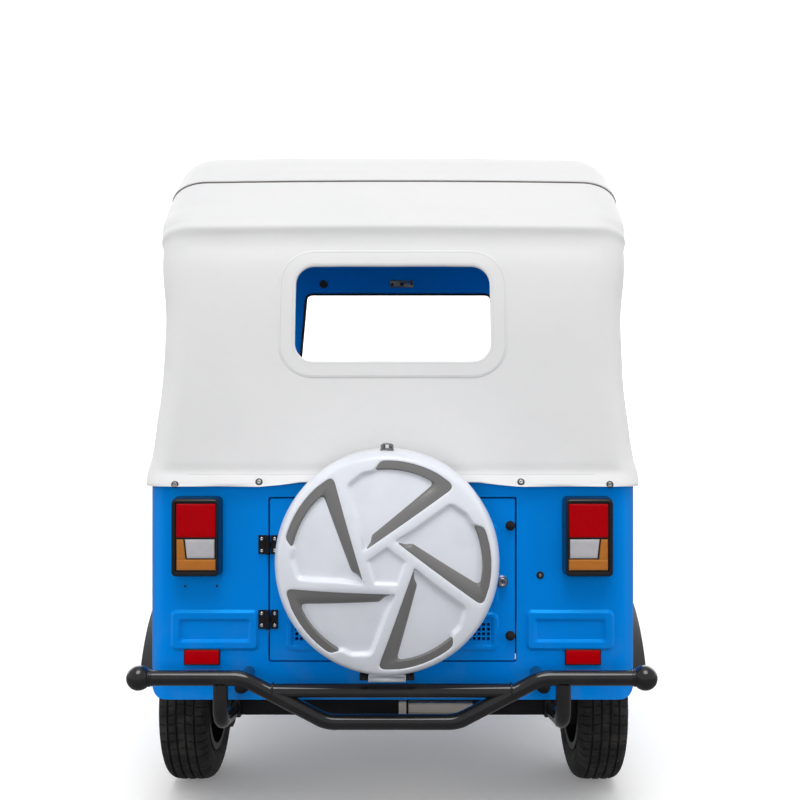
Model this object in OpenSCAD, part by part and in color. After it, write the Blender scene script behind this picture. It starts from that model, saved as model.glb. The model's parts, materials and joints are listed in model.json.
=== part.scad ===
// Three-wheeled auto rickshaw: steel tub, canvas hood, rear engine behind a hinged lid that carries the
// covered spare wheel, and a single steered front wheel.
// Millimetres. +Y is forward, +Z is up, z = 0 is the ground. Modules work from the tail panel's outer face
// (y = 0); place() moves the whole vehicle so that its box is centred on the origin.

/* [Wheels] */
// Outer diameter of the tyres
tyre_d = 494; // [480:2:504]
// Section width of the tyres
tyre_w = 136; // [124:2:140]
// Diameter of the rims at the bead seat
rim_d = 305; // [290:1:315]
// Distance between the rear wheels' centre planes
track = 1160; // [1140:2:1170]
// Distance from the rear axle to the front axle
wheelbase = 1980; // [1960:5:2040]
// Distance from the tail panel to the rear axle
tail_to_axle = 430; // [415:5:445]

/* [Body] */
// Width of the steel tub over its side panels
body_w = 1250; // [1240:2:1260]
// Height of the tub's lower edge above the ground
tub_z = 345; // [340:1:350]
// Height of the tub's top rim, where the hood is buttoned on
rim_z = 902; // [896:1:912]
// Thickness of the tail panel
tail_wall = 20; // [14:1:24]
// Thickness of the side panels
side_wall = 25; // [16:1:28]
// Radius of the tail panel's upright corners
tail_r = 60; // [45:1:70]
// Thickness of the folded sheet of the seat box
sheet = 12; // [8:1:14]
// Gap between the tyre and the wheel arch
arch_gap = 63; // [56:1:68]
// How far the arch flares stand out from the side panels
flare_out = 57; // [40:1:62]
// Thickness of the front cowl
cowl_wall = 10; // [6:1:12]

/* [Hood] */
// Thickness of the canvas
canvas = 6; // [4:0.5:8]
// Width of the rear window
window_w = 510; // [440:5:540]
// Height of the rear window
window_h = 255; // [220:5:270]
// Diameter of the hood's hoops
bow_d = 22; // [18:1:26]

/* [Engine lid] */
// Width of the lid opening
lid_w = 632; // [620:2:640]
// Height of the lid opening
lid_h = 420; // [410:2:426]
// Gap all round the lid
lid_gap = 4; // [3:0.5:6]
// Outer diameter of the spare wheel cover
cover_d = 544; // [536:2:548]
// Wall of the spare wheel cover
cover_wall = 5; // [4:0.5:6]
// Height of the cover's ribs over its pockets
rib_h = 12; // [8:1:15]

/* [Bumper] */
// Diameter of the bumper tube
bumper_d = 38; // [32:1:42]
// Diameter of the ball ends
ball_d = 61; // [54:1:66]
// Height of the bumper's outer ends
bumper_z = 427; // [422:1:430]
// Height of the bumper's dropped middle
bumper_low_z = 319; // [312:1:326]

/* [Steering] */
// Rake of the steering axis from the upright, in degrees
rake = 27; // [26:0.5:28]
// Distance from the steering axis forward to the front axle
fork_offset = 60; // [54:1:66]
// Distance from the centre plane to each fork leg
fork_leg_x = 118; // [116:1:124]
// Diameter of the steering column
column_d = 44; // [40:1:48]
// Diameter of the handlebar
bar_d = 22; // [20:1:25]

/* [Hidden] */
$fn = 48;

// Clearances
seat_gap = 0.3;
turn_gap = 0.3;
joint_lap = 2;

// Wheels and axles
tyre_r = tyre_d / 2;
axle_z = tyre_r;
front_y = tail_to_axle + wheelbase;
wheel_x = track / 2;
stub_r = 15;
arch_r = tyre_r + arch_gap;

// Tub
half_w = body_w / 2;
side_x = half_w - side_wall;
tail_return = 75;
floor_z = 375;
floor_t = 25;
floor_x = side_x - 40;
rail_x = wheel_x - 170;
rail_w = 40;
rail_h = 56;
rail_z0 = floor_z - floor_t - rail_h;
seat_front = 960;
seat_z = 612;
bulkhead_y = 382;
quarter_y = 1010;

// Steering axis: a point level with the front axle's foot on the axis, and the unit vector up along it
axis_up = [0, -sin(rake), cos(rake)];
axis_out = [0, cos(rake), sin(rake)];
axis_foot = [0, front_y, axle_z] - fork_offset * axis_out;
function on_axis(s) = axis_foot + s * axis_up;
mudguard_r = tyre_r + 24;
mudguard_t = 4;
mudguard_start = 10;
crown_s = mudguard_r + 26;
crown_h = 24;
head_s0 = 430;
head_s1 = 585;
clamp_s = 850;
clamp_h = 42;

// Lid and spare wheel
lid_x0 = -lid_w / 2;
lid_z0 = 441;
lid_t = tail_wall;
hinge_y = -9;
hinge_r = 6.5;
spare_x = -11;
spare_z = 717;
spare_gap = 30;
dome_room = 60;
apex_h = spare_gap + tyre_w + dome_room;
cover_r = cover_d / 2;
rear_most = -apex_h;
front_most = front_y + (mudguard_r + mudguard_t) * cos(mudguard_start);
mid_y = (front_most + rear_most) / 2;

// Points along an arc, and outlines made of arcs
function polar(r, a) = r * [cos(a), sin(a)];
function arc(c, r, a0, a1, n = 8) = [for (i = [0:n]) c + polar(r, a0 + (a1 - a0) * i / n)];
function round_rect(w, h, r) = concat(
    arc([w / 2 - r, h / 2 - r], r, 0, 90), arc([r - w / 2, h / 2 - r], r, 90, 180),
    arc([r - w / 2, r - h / 2], r, 180, 270), arc([w / 2 - r, r - h / 2], r, 270, 360));
function reverse(list) = [for (i = [len(list) - 1:-1:0]) list[i]];
function unit(v) = v / norm(v);

// Row at station t of a table whose first column is the station
function row_at(t, table, i = 0) = i >= len(table) - 2 || t < table[i + 1][0] ? i : row_at(t, table, i + 1);
function lookup_row(t, table) =
    let(i = row_at(t, table), a = table[i], b = table[i + 1], f = min(1, max(0, (t - a[0]) / (b[0] - a[0]))))
    a + (b - a) * f;
// Smooth curve through a table's rows at t, counted in rows
function through_rows(table, t) =
    let(n = len(table) - 1, i = min(n - 1, floor(t)), f = t - i,
        p0 = table[max(0, i - 1)], p1 = table[i], p2 = table[i + 1], p3 = table[min(n, i + 2)])
    0.5 * (2 * p1 + (p2 - p0) * f + (2 * p0 - 5 * p1 + 4 * p2 - p3) * pow(f, 2)
        + (3 * p1 - 3 * p2 + p3 - p0) * pow(f, 3));

// Profile in (y, z) drawn out along X, and profile in (x, z) drawn out along Y
module side_extrude(x0, x1) translate([x0, 0, 0]) rotate([90, 0, 90]) linear_extrude(x1 - x0) children();
module rear_extrude(y0, y1) translate([0, y1, 0]) rotate([90, 0, 0]) linear_extrude(y1 - y0) children();
module both() {
    children();
    mirror([1, 0, 0]) children();
}
module place() translate([0, -mid_y, 0]) children();
// Turns local X, Y, Z into Y, Z, X, for shapes turned about an axle
module on_axle(x, y, z) translate([x, y, z]) rotate([90, 0, 90]) children();
// Turns local Z along the steering axis
module along_axis(s) translate(on_axis(s)) rotate([rake, 0, 0]) children();

// Straight bar between two points
module bar(a, b, d) {
    v = b - a;
    translate(a) rotate([0, acos(v[2] / norm(v)), atan2(v[1], v[0])]) cylinder(h = norm(v), d = d);
}
// Tube through points with round bends; each bend is a hair fatter than the straights that plug into it
bend_extra = 0.8;
module tube_path(pts, d, r) {
    n = len(pts) - 1;
    turn = [for (i = [0:n]) i == 0 || i == n ? 0 :
        acos(unit(pts[i] - pts[i - 1]) * unit(pts[i + 1] - pts[i]))];
    cut = [for (i = [0:n]) turn[i] == 0 ? 0 : r * tan(turn[i] / 2) - joint_lap];
    for (i = [0:n - 1]) {
        u = unit(pts[i + 1] - pts[i]);
        bar(pts[i] + u * cut[i], pts[i + 1] - u * cut[i + 1], d);
    }
    for (i = [1:n - 1]) {
        u = unit(pts[i] - pts[i - 1]);
        v = unit(pts[i + 1] - pts[i]);
        inward = unit(v - (u * v) * u);
        axis = cross(u, inward);
        c = pts[i] - u * r * tan(turn[i] / 2) + inward * r;
        multmatrix([[-inward[0], u[0], axis[0], c[0]], [-inward[1], u[1], axis[1], c[1]],
                    [-inward[2], u[2], axis[2], c[2]], [0, 0, 0, 1]])
            rotate_extrude(angle = turn[i]) translate([r, 0]) circle(d = d + bend_extra);
    }
}
// Normal at row i, column j of a grid of points (rows of equal length)
function grid_normal(g, i, j) = let(last = len(g) - 1, end = len(g[0]) - 1) unit(cross(
    g[i][min(end, j + 1)] - g[i][max(0, j - 1)], g[min(last, i + 1)][j] - g[max(0, i - 1)][j]));
// Closed sheet over a grid: out is how far it reaches along the grid's normal, back how far against it
module grid_sheet(g, out, back) {
    rows = len(g);
    cols = len(g[0]);
    face = [for (k = [0, 1], i = [0:rows - 1], j = [0:cols - 1])
        g[i][j] + (k == 0 ? out : -back) * grid_normal(g, i, j)];
    half = rows * cols;
    function at(k, i, j) = k * half + i * cols + j;
    top = [for (i = [0:rows - 2], j = [0:cols - 2]) each [
        [at(0, i, j), at(0, i + 1, j), at(0, i + 1, j + 1)],
        [at(0, i, j), at(0, i + 1, j + 1), at(0, i, j + 1)]]];
    bottom = [for (i = [0:rows - 2], j = [0:cols - 2]) each [
        [at(1, i, j), at(1, i + 1, j + 1), at(1, i + 1, j)],
        [at(1, i, j), at(1, i, j + 1), at(1, i + 1, j + 1)]]];
    ends = [for (i = [0, rows - 1], j = [0:cols - 2]) let(f = i == 0) each [
        f ? [at(0, i, j), at(0, i, j + 1), at(1, i, j + 1)] : [at(0, i, j), at(1, i, j + 1), at(0, i, j + 1)],
        f ? [at(0, i, j), at(1, i, j + 1), at(1, i, j)] : [at(0, i, j), at(1, i, j), at(1, i, j + 1)]]];
    edges = [for (j = [0, cols - 1], i = [0:rows - 2]) let(f = j == 0) each [
        f ? [at(0, i, j), at(1, i + 1, j), at(0, i + 1, j)] : [at(0, i, j), at(0, i + 1, j), at(1, i + 1, j)],
        f ? [at(0, i, j), at(1, i, j), at(1, i + 1, j)] : [at(0, i, j), at(1, i + 1, j), at(1, i, j)]]];
    polyhedron(face, concat(top, bottom, ends, edges));
}

// Frame and tub

// Head tube's carrier, from the last cross member up to the head tube
carrier_d = 46;
carrier_foot = [0, 1870, rail_z0 + 26];
carrier_head = on_axis((head_s0 + head_s1) / 2);
// Trailing arms: pivot in (y, z), its pin's radius and inner end, and the arm's inner and outer faces
arm_pivot = [925, 300];
pivot_r = 8;
pin_x = rail_x + rail_w / 2 + 1;
arm_x0 = wheel_x - 138;
arm_x1 = arm_x0 + 36;
// y of the cross members' middles, their width along the rails and how far they lie below the rails' top
cross_y = [60, 700, 1150, 1560, 1860];
cross_w = 40;
cross_drop = 8;
rail_end = 1880;
head_wall = 8;
module chassis_frame() color("dimgray") {
    rail_y0 = tail_wall + seat_gap;
    both() translate([rail_x - rail_w / 2, rail_y0, rail_z0]) cube([rail_w, rail_end - rail_y0, rail_h]);
    for (y = cross_y)
        translate([-rail_x, y - cross_w / 2, rail_z0]) cube([2 * rail_x, cross_w, rail_h - cross_drop]);
    // Pivot lugs of the trailing arms
    both() difference() {
        side_extrude(rail_x, arm_x0 - 4) polygon([
            arm_pivot + [-55, 42], arm_pivot + [55, 42], arm_pivot + [28, -26], arm_pivot + [-28, -26]]);
        on_axle(pin_x - 0.5, arm_pivot[0], arm_pivot[1]) cylinder(h = arm_x0 - pin_x, r = pivot_r + turn_gap);
    }
    // Head tube with its sloping carrier
    difference() {
        union() {
            along_axis(head_s0) cylinder(h = head_s1 - head_s0, d = column_d + 2 * head_wall);
            bar(carrier_foot, carrier_head, carrier_d);
        }
        along_axis(head_s0 - carrier_d)
            cylinder(h = head_s1 - head_s0 + 2 * carrier_d, d = column_d + 2 * turn_gap);
    }
}

// Floor: where its sides end at the front, its ribs, and the sills that join it to the side panels
floor_y1 = 1700;
floor_rib = [24, 280, 5];
floor_rib_pitch = 120;
sill = [55, 700, 60];
module floor_pan() color("steelblue") {
    front = [for (j = [0:2 * cowl_cols]) cowl_inside(j, floor_z - floor_t)];
    difference() {
        translate([0, 0, floor_z - floor_t]) linear_extrude(floor_t) polygon(concat(
            [[-floor_x, seat_front - sheet], [floor_x, seat_front - sheet], [floor_x, floor_y1]],
            front, [[-floor_x, floor_y1]]));
        bar(carrier_foot, carrier_head, carrier_d + 4 * seat_gap);
    }
    for (k = [-3:3])
        translate([k * floor_rib_pitch - floor_rib[0] / 2, seat_front + 40, floor_z]) cube(floor_rib);
    both() translate([floor_x, seat_front + sill[0], floor_z - 0.75 * sill[2]])
        cube([side_x - floor_x, sill[1], sill[2]]);
}

// Outline of the tail in plan, a distance in from its outer face
function tail_plan(inset) = concat([[inset - half_w, tail_return]],
    arc([tail_r - half_w, tail_r], tail_r - inset, 180, 270),
    arc([half_w - tail_r, tail_r], tail_r - inset, 270, 360), [[half_w - inset, tail_return]]);
// Middle, size and height of the pressed frames beside the lid
emboss = [half_w - 173, 522];
emboss_size = [214, 92];
emboss_h = 5;
module emboss_frame() rear_extrude(-emboss_h, 1) difference() {
    polygon(round_rect(emboss_size[0], emboss_size[1], 10));
    polygon(round_rect(emboss_size[0] - 34, emboss_size[1] - 36, 8));
}
// Snap studs under the hood's hem: their stations across the hood and diameter
snap_u = [0.6, 0.97];
snap_d = 14;
// y at which a stud meets the canvas
function snap_y(u) = let(a = hood_point(0, u), b = hood_point(0.5, u))
    a[1] + (b[1] - a[1]) * (snap_z + snap_d / 2 - a[2]) / (b[2] - a[2]);
module tail_panel() color("dodgerblue") {
    low_r = 40;
    back = concat(arc([half_w - low_r, tub_z + low_r], low_r, 270, 360), [[half_w, rim_z], [-half_w, rim_z]],
                  arc([low_r - half_w, tub_z + low_r], low_r, 180, 270));
    difference() {
        union() {
            intersection() {
                translate([0, 0, tub_z]) linear_extrude(rim_z - tub_z)
                    polygon(concat(tail_plan(0), reverse(tail_plan(tail_wall))));
                rear_extrude(-1, tail_return + 1) polygon(back);
            }
            both() translate([emboss[0], 0, emboss[1]]) emboss_frame();
            both() for (u = snap_u) translate([hood_point(0, u)[0], tail_wall / 2, snap_z]) rotate([90, 0, 0])
                cylinder(h = tail_wall / 2 - snap_y(u) - seat_gap, d = snap_d);
        }
        translate([0, 0, lid_z0 + lid_h / 2]) rear_extrude(-10, tail_wall + 10)
            polygon(round_rect(lid_w, lid_h, 6));
    }
}

// Rear quarter's front edge: its height where it starts to curve, and how far it curves back
quarter_z = 560;
quarter_back = 210;
// Inner arch: its inner face and its wall
arch_x = wheel_x - tyre_w / 2 - 12;
arch_wall = 6;
module side_panel() {
    edge = [for (a = [0:10:90])
        [quarter_y - quarter_back * (1 - cos(a)), quarter_z + (rim_z - quarter_z) * sin(a)]];
    difference() {
        side_extrude(side_x, half_w)
            polygon(concat([[tail_return, rim_z], [tail_return, tub_z], [quarter_y, tub_z]], edge));
        on_axle(side_x - 1, tail_to_axle, axle_z) cylinder(h = side_wall + 2, r = arch_r);
    }
    intersection() {
        on_axle(arch_x, tail_to_axle, axle_z) difference() {
            cylinder(h = side_x - arch_x + 2, r = arch_r + arch_wall);
            translate([0, 0, -1]) cylinder(h = side_x - arch_x + 5, r = arch_r);
        }
        translate([arch_x, 0, tub_z]) cube([side_x - arch_x + 2, 2 * tail_to_axle, arch_r + axle_z]);
    }
}
module side_panel_left() color("dodgerblue") mirror([1, 0, 0]) side_panel();
module side_panel_right() color("dodgerblue") side_panel();

module seat_box() color("royalblue") intersection() {
    back = tail_wall + seat_gap;
    side_extrude(seat_gap - side_x, side_x - seat_gap) polygon([
        [seat_front, floor_z], [seat_front, seat_z], [bulkhead_y, seat_z], [bulkhead_y, rim_z], [back, rim_z],
        [back, rim_z - sheet], [bulkhead_y - sheet, rim_z - sheet], [bulkhead_y - sheet, seat_z - sheet],
        [seat_front - sheet, seat_z - sheet], [seat_front - sheet, floor_z]]);
    linear_extrude(2 * rim_z)
        polygon(concat([[-half_w, seat_front + 1]], tail_plan(back), [[half_w, seat_front + 1]]));
}

// Arch flares: lip, how far the root reaches past the arch, and its thickness there
flare_lip = 8;
flare_root = 50;
flare_t = 18;
module arch_flares() color("black") both() {
    root_x = half_w + seat_gap;
    rim_r = arch_r - 2;
    foot = asin((tub_z + 15 - axle_z) / (arch_r + 20));
    on_axle(0, tail_to_axle, axle_z) rotate([0, 0, foot]) rotate_extrude(angle = 180 - 2 * foot) polygon([
        [arch_r + flare_root, root_x], [rim_r, root_x + flare_out], [rim_r - flare_lip, root_x + flare_out],
        [rim_r - flare_lip, root_x + flare_out - 14], [arch_r + flare_root - flare_t, root_x]]);
}

// Front cowl, one row per height
// columns: z, y of the nose, sweep back at the side, half width
cowl_rows = [
    [340, 2020, 120, half_w - 125],
    [530, 2075, 160, half_w - 95],
    [600, 2205, 250, half_w - 85],
    [680, 2325, 335, half_w - 75],
    [760, 2352, 350, half_w - 70],
    [860, 2312, 290, half_w - 75],
    [950, 2235, 190, half_w - 80],
    [1020, 2162, 60, half_w - 87]
];
cowl_cols = 8;
function cowl_grid() = [for (t = [0:0.5:len(cowl_rows) - 1]) let(r = through_rows(cowl_rows, t))
    [for (j = [cowl_cols:-1:-cowl_cols]) let(f = j / cowl_cols) [f * r[3], r[1] - r[2] * pow(f, 2), r[0]]]];
// Just inside the cowl's lowest row of panels at a height, on column j of its grid
function cowl_inside(j, z) = let(g = cowl_grid(), depth = cowl_wall + 2 * seat_gap,
    a = g[0][j] - depth * grid_normal(g, 0, j), b = g[1][j] - depth * grid_normal(g, 1, j),
    p = a + (b - a) * (z - a[2]) / (b[2] - a[2])) [p[0], p[1]];
lamp_pos = [0, 2352, 760];
lamp_r = 84;
// Slot that the steering column's carrier and the mudguard swing in
nose_slot = [124, 420, 210];
nose_slot_pos = [0, 2110, 535];

module front_cowl() color("dodgerblue") difference() {
    grid_sheet(cowl_grid(), 0, cowl_wall);
    translate(lamp_pos + [0, -60, 0]) rotate([-90, 0, 0]) cylinder(h = 120, r = lamp_r);
    translate(nose_slot_pos) cube(nose_slot, center = true);
}

// Windscreen: a flat ring leaning back by the screen's tilt
screen_tilt = 28;
screen_foot = [0, 2172, 1034];
screen_t = 28;
screen_h = 770;
screen_low_w = body_w - 174;
screen_high_w = body_w - 270;
screen_r = 50;
screen_top_z = screen_foot[2] + screen_h * cos(screen_tilt);
// Half width of the ring at a distance up the screen
function screen_half_w(up) =
    screen_low_w / 2 - (screen_low_w - screen_high_w) / 2 * (up - screen_r) / (screen_h - 2 * screen_r);
// y of the ring's rear face at a height
function screen_back(z) = let(up = (z - screen_foot[2] + screen_t * sin(screen_tilt)) / cos(screen_tilt))
    screen_foot[1] - up * sin(screen_tilt) - screen_t * cos(screen_tilt);
module on_screen() translate(screen_foot) rotate([90 + screen_tilt, 0, 0]) children();
// Opening's corners
// columns: half width, distance up the screen
opening_rows = [[screen_low_w / 2 - 63, 70], [screen_high_w / 2 - 86, screen_h - 148]];
opening_r = 36;
function trapezoid(low, high, r) = let(slope = atan2(low[0] - high[0], high[1] - low[1])) concat(
    arc([high[0] - r, high[1] - r], r, slope, 90), arc([r - high[0], high[1] - r], r, 90, 180 - slope),
    arc([r - low[0], low[1] + r], r, 180 - slope, 270), arc([low[0] - r, low[1] + r], r, 270, 360 + slope));
module screen_opening(gap)
    polygon(trapezoid(opening_rows[0] - [gap, -gap], opening_rows[1] - [gap, gap], opening_r));

module windscreen_frame() color("navy") on_screen() linear_extrude(screen_t) difference() {
    polygon(trapezoid([screen_low_w / 2, 0], [screen_high_w / 2, screen_h], screen_r));
    screen_opening(0);
}
glass_t = 6;
module windscreen() color("lightcyan", 0.35) on_screen() translate([0, 0, (screen_t - glass_t) / 2])
    linear_extrude(glass_t) screen_opening(seat_gap);

// Patch of the cowl's own grid, by rows and columns
function cowl_patch(i0, i1, j0, j1) = let(g = cowl_grid()) [for (i = [i0:i1]) [for (j = [j0:j1]) g[i][j]]];
dash_depth = 90;
module dashboard() color("dimgray")
    grid_sheet(cowl_patch(10, 13, 3, 13), -cowl_wall - seat_gap, cowl_wall + dash_depth);

// Hood: height of its hem and of the snap studs, and a row per station from the hem over the roof forward
hem_z = rim_z - 16;
snap_z = hem_z + 8;
// columns: y and z of the middle line, corner radius, y and z of the side edge that the row runs out to
hood_rows = [
    [-14, hem_z, 58, 800, hem_z],
    [2, 960, 66, 772, 960],
    [28, 1150, 80, 742, 1090],
    [66, 1380, 88, 716, 1220],
    [120, 1566, 92, 704, 1340],
    [180, 1640, 96, 712, 1420],
    [250, 1714, 104, 744, 1480],
    [350, 1800, 112, 830, 1512],
    [560, 1824, 120, 950, 1526],
    [1000, 1818, 120, 1160, 1540],
    [1400, 1788, 116, 1450, 1552],
    [1800, 1726, 100, 1800, 1566]
];
// Half width of the hood by height: the canvas draws in between the tub's rim and the rear hoop
// columns: z, half width
hood_sides = [
    [hem_z, half_w + 5], [rim_z + 8, half_w + 3], [960, half_w - 14], [1108, half_w - 24], [1290, half_w - 26],
    [1450, half_w - 18], [1566, half_w - 5], [1700, half_w - 9], [1830, half_w - 15]
];
function hood_half_w(z) = lookup_row(z, hood_sides)[1];
hood_crown = 10;
// Point of the hood: t counts rows, u runs from 0 on the middle line through 1 and 2, where the corner
// starts and ends, to 3 on the side edge
function hood_point(t, u) =
    let(r = through_rows(hood_rows, t), p = [r[0], r[1]], q = [r[3], r[4]], e = unit(q - p),
        a = 90 * min(1, max(0, u - 1)), down = r[2] * (1 - cos(a)),
        yz = u <= 2 ? p + e * down : p + e * r[2] + (q - p - e * r[2]) * (u - 2),
        w = hood_half_w(yz[1]), flat = w - r[2],
        x = u <= 1 ? flat * u : flat + r[2] * sin(a))
    [x, yz[0] + e[0] * hood_crown * pow(x / w, 2), yz[1] + e[1] * hood_crown * pow(x / w, 2)];
// Stations across the hood, from one side edge to the other
hood_across = [3, 2.66, 2.33, 2, 1.8, 1.6, 1.4, 1.2, 1, 0.6];
function hood_grid() = [for (t = [0:0.5:len(hood_rows) - 1]) concat(
    [for (u = hood_across) let(p = hood_point(t, u)) [-p[0], p[1], p[2]]], [hood_point(t, 0)],
    [for (u = reverse(hood_across)) hood_point(t, u)])];
window_z = 1333;
window_r = 50;

module hood_canopy() color("white") difference() {
    grid_sheet(hood_grid(), canvas, 0);
    translate([0, 0, window_z]) rear_extrude(-60, 220) polygon(round_rect(window_w, window_h, window_r));
}
module rear_window() color("lightcyan", 0.35) {
    low = hood_point(2.2, 0);
    high = hood_point(3.4, 0);
    lean = atan2(high[1] - low[1], high[2] - low[2]);
    intersection() {
        translate([0, low[1], low[2]]) rotate([-lean, 0, 0]) translate([-400, -3, -400]) cube([800, 2, 800]);
        translate([0, 0, window_z]) rear_extrude(-60, 220)
            polygon(round_rect(window_w - 2 * seat_gap, window_h - 2 * seat_gap, window_r - seat_gap));
    }
}
// Hoops
// columns: y of the feet, station of the hood under which the top lies
bow_rows = [[428, 4], [480, 7.5]];
bow_x = side_x - 32;
bow_r = 110;
bow_foot_z = 826;
boss_d = 30;
side_rail_z = screen_top_z - 24;
// Middle of a hoop's top in (y, z), just under the canvas
function bow_top(t) = let(u = (bow_x - bow_r) / (bow_x - 50), p = hood_point(t, u),
    a = hood_point(t - 0.5, u), b = hood_point(t + 0.5, u), along = unit([b[1] - a[1], b[2] - a[2]]),
    drop = (bow_d + bend_extra) / 2 + 2 * seat_gap)
    [p[1] + drop * along[1], p[2] - drop * along[0]];
module hood_bows() color("black") {
    for (b = bow_rows) {
        top = bow_top(b[1]);
        tube_path([[-bow_x, b[0], bow_foot_z], [-bow_x, top[0], top[1]], [bow_x, top[0], top[1]],
                   [bow_x, b[0], bow_foot_z]], bow_d, bow_r);
        // Pivot bosses on the side panels
        both() on_axle(bow_x, b[0], bow_foot_z + 20) cylinder(h = side_x - seat_gap - bow_x, d = boss_d);
    }
    // Rails from the front hoop to the windscreen frame
    foot = bow_rows[1][0];
    top = bow_top(bow_rows[1][1]);
    start_y = foot + (top[0] - foot) * (side_rail_z - bow_foot_z) / (top[1] - bow_foot_z);
    both() bar([bow_x - joint_lap, start_y, side_rail_z],
               [screen_high_w / 2 - 40, screen_back(side_rail_z + bow_d / 2) - seat_gap, side_rail_z], bow_d);
}

// Seats

cushion_r = 28;
module cushion(w, y0, y1, z0, z1, lean = 0) translate([0, y0, z0]) rotate([lean, 0, 0])
    rear_extrude(0, y1 - y0) translate([0, (z1 - z0) / 2]) polygon(round_rect(w, z1 - z0, cushion_r));
// Driver's seat: width, length and thickness of the cushion, and size of the backrest
base_y = 1400;
base_z = 640;
base_w = 470;
base_l = 330;
saddle = [500, 362, 90];
driver_back = [440, 47, 334];
driver_back_z = 872;
rail_y = 1356;
rail_d = 25;
module driver_seat() color("black") {
    cushion(saddle[0], base_y - 2, base_y - 2 + saddle[1], base_z + seat_gap, base_z + saddle[2]);
    translate([0, rail_y + rail_d / 2 + seat_gap, 0])
        cushion(driver_back[0], 0, driver_back[1], driver_back_z, driver_back_z + driver_back[2]);
}
module driver_seat_base() color("royalblue")
    translate([-base_w / 2, base_y, floor_z]) cube([base_w, base_l, base_z - floor_z]);
// Bench: gap to the side panels, thickness and overhang in front
bench = [20, 112, 15];
bench_z = seat_z + bench[1];
// Its backrest: gap to the side panels, thickness and height, its foot's distance from the bulkhead, and lean
bench_back = [50, 78, 408];
bench_foot = 19;
bench_lean = 6;
module passenger_seat() color("black")
    cushion(2 * (side_x - bench[0]), bulkhead_y + 6, seat_front + bench[2], seat_z + seat_gap, bench_z);
module passenger_backrest() color("black") translate([0, bulkhead_y + bench_foot, bench_z])
    cushion(2 * (side_x - bench_back[0]), 0, bench_back[1], seat_gap, bench_back[2], bench_lean);
// Partition rail: half width, height, bend and the cross bar's height
part_x = side_x - 80;
part_z = 1190;
part_r = 130;
part_bar_z = 880;
module partition_rail() color("black") {
    tube_path([[-part_x, rail_y, floor_z], [-part_x, rail_y, part_z], [part_x, rail_y, part_z],
               [part_x, rail_y, floor_z]], rail_d, part_r);
    bar([-part_x, rail_y, part_bar_z], [part_x, rail_y, part_bar_z], rail_d - 5);
}

// Rear lamps and reflectors: middle of the right-hand lamp, its size, and how far it stands out
lamp_mid = [(lid_w / 2 + half_w) / 2 + 27.5, 759];
lamp_w = 132;
lamp_h = 204;
lamp_out = 52;
lens_t = 5;
lens_seat = 9;
// Red, clear and amber fields of a lamp's face, in (x, z) from its middle, x outward
red_field = [[-42, 10], [48, 10], [48, 92], [-48, 92]];
clear_field = [[-48, -42], [20, -42], [26, 4], [-45, 4]];
amber_field = [[-52, -86], [48, -86], [48, 4], [31, 4], [25, -48], [-49, -48]];
module tail_lamp_housings() color("black") both() translate([lamp_mid[0], 0, lamp_mid[1]]) difference() {
    intersection() {
        rear_extrude(-lamp_out, -seat_gap) polygon(round_rect(lamp_w, lamp_h, 12));
        translate([0, 0, -lamp_h]) linear_extrude(2 * lamp_h)
            polygon([[-lamp_w / 2, 0], [lamp_w / 2, 0],
                     [lamp_w / 2 - 4, -lamp_out], [16 - lamp_w / 2, -lamp_out]]);
    }
    for (f = [red_field, clear_field, amber_field])
        rear_extrude(-lamp_out - 1, lens_seat - lamp_out) polygon(f);
}
module lens(field) both() translate([lamp_mid[0], 0, lamp_mid[1]])
    rear_extrude(lens_seat - lens_t - lamp_out, lens_seat - lamp_out) intersection() {
        polygon(field);
        translate([0.4, 0]) polygon(field);
        translate([-0.4, 0.4]) polygon(field);
        translate([0, -0.4]) polygon(field);
    }
// Reflectors: middle, width, height and how far they stand out
reflector = [half_w - 141, 455];
reflector_size = [89, 38];
reflector_out = 9;
module red_lenses() color("red") {
    lens(red_field);
    both() translate([reflector[0], 0, reflector[1]]) rear_extrude(-reflector_out, -seat_gap)
        polygon(round_rect(reflector_size[0], reflector_size[1], 4));
}
indicator_out = 22;
module amber_lenses() color("orange") {
    lens(amber_field);
    both() grid_sheet(cowl_patch(9, 10, 13, 14), indicator_out, -seat_gap);
}
module clear_lenses() color("white") {
    lens(clear_field);
    translate(lamp_pos + [0, 6, 0]) rotate([-90, 0, 0]) intersection() {
        cylinder(h = 60, r = lamp_r - 14);
        translate([0, 0, -150]) sphere(r = 170);
    }
}
module headlamp_bezel() color("silver") translate(lamp_pos) rotate([-90, 0, 0]) rotate_extrude() polygon([
    [lamp_r - 0.5, -50], [lamp_r - 0.5, 4], [lamp_r + 10, 4], [lamp_r + 7, 14], [lamp_r - 6, 22],
    [lamp_r - 13, 18], [lamp_r - 13, 6], [lamp_r - 30, 5.5], [lamp_r - 60, -50]]);

// Bumper, one half's bends
// columns: x, z
bumper_rows = [[half_w - 5, bumper_z], [367, bumper_z], [160, bumper_low_z]];
bumper_y = -98;
bumper_r = 95;
bumper_bar_z = 396;
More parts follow.
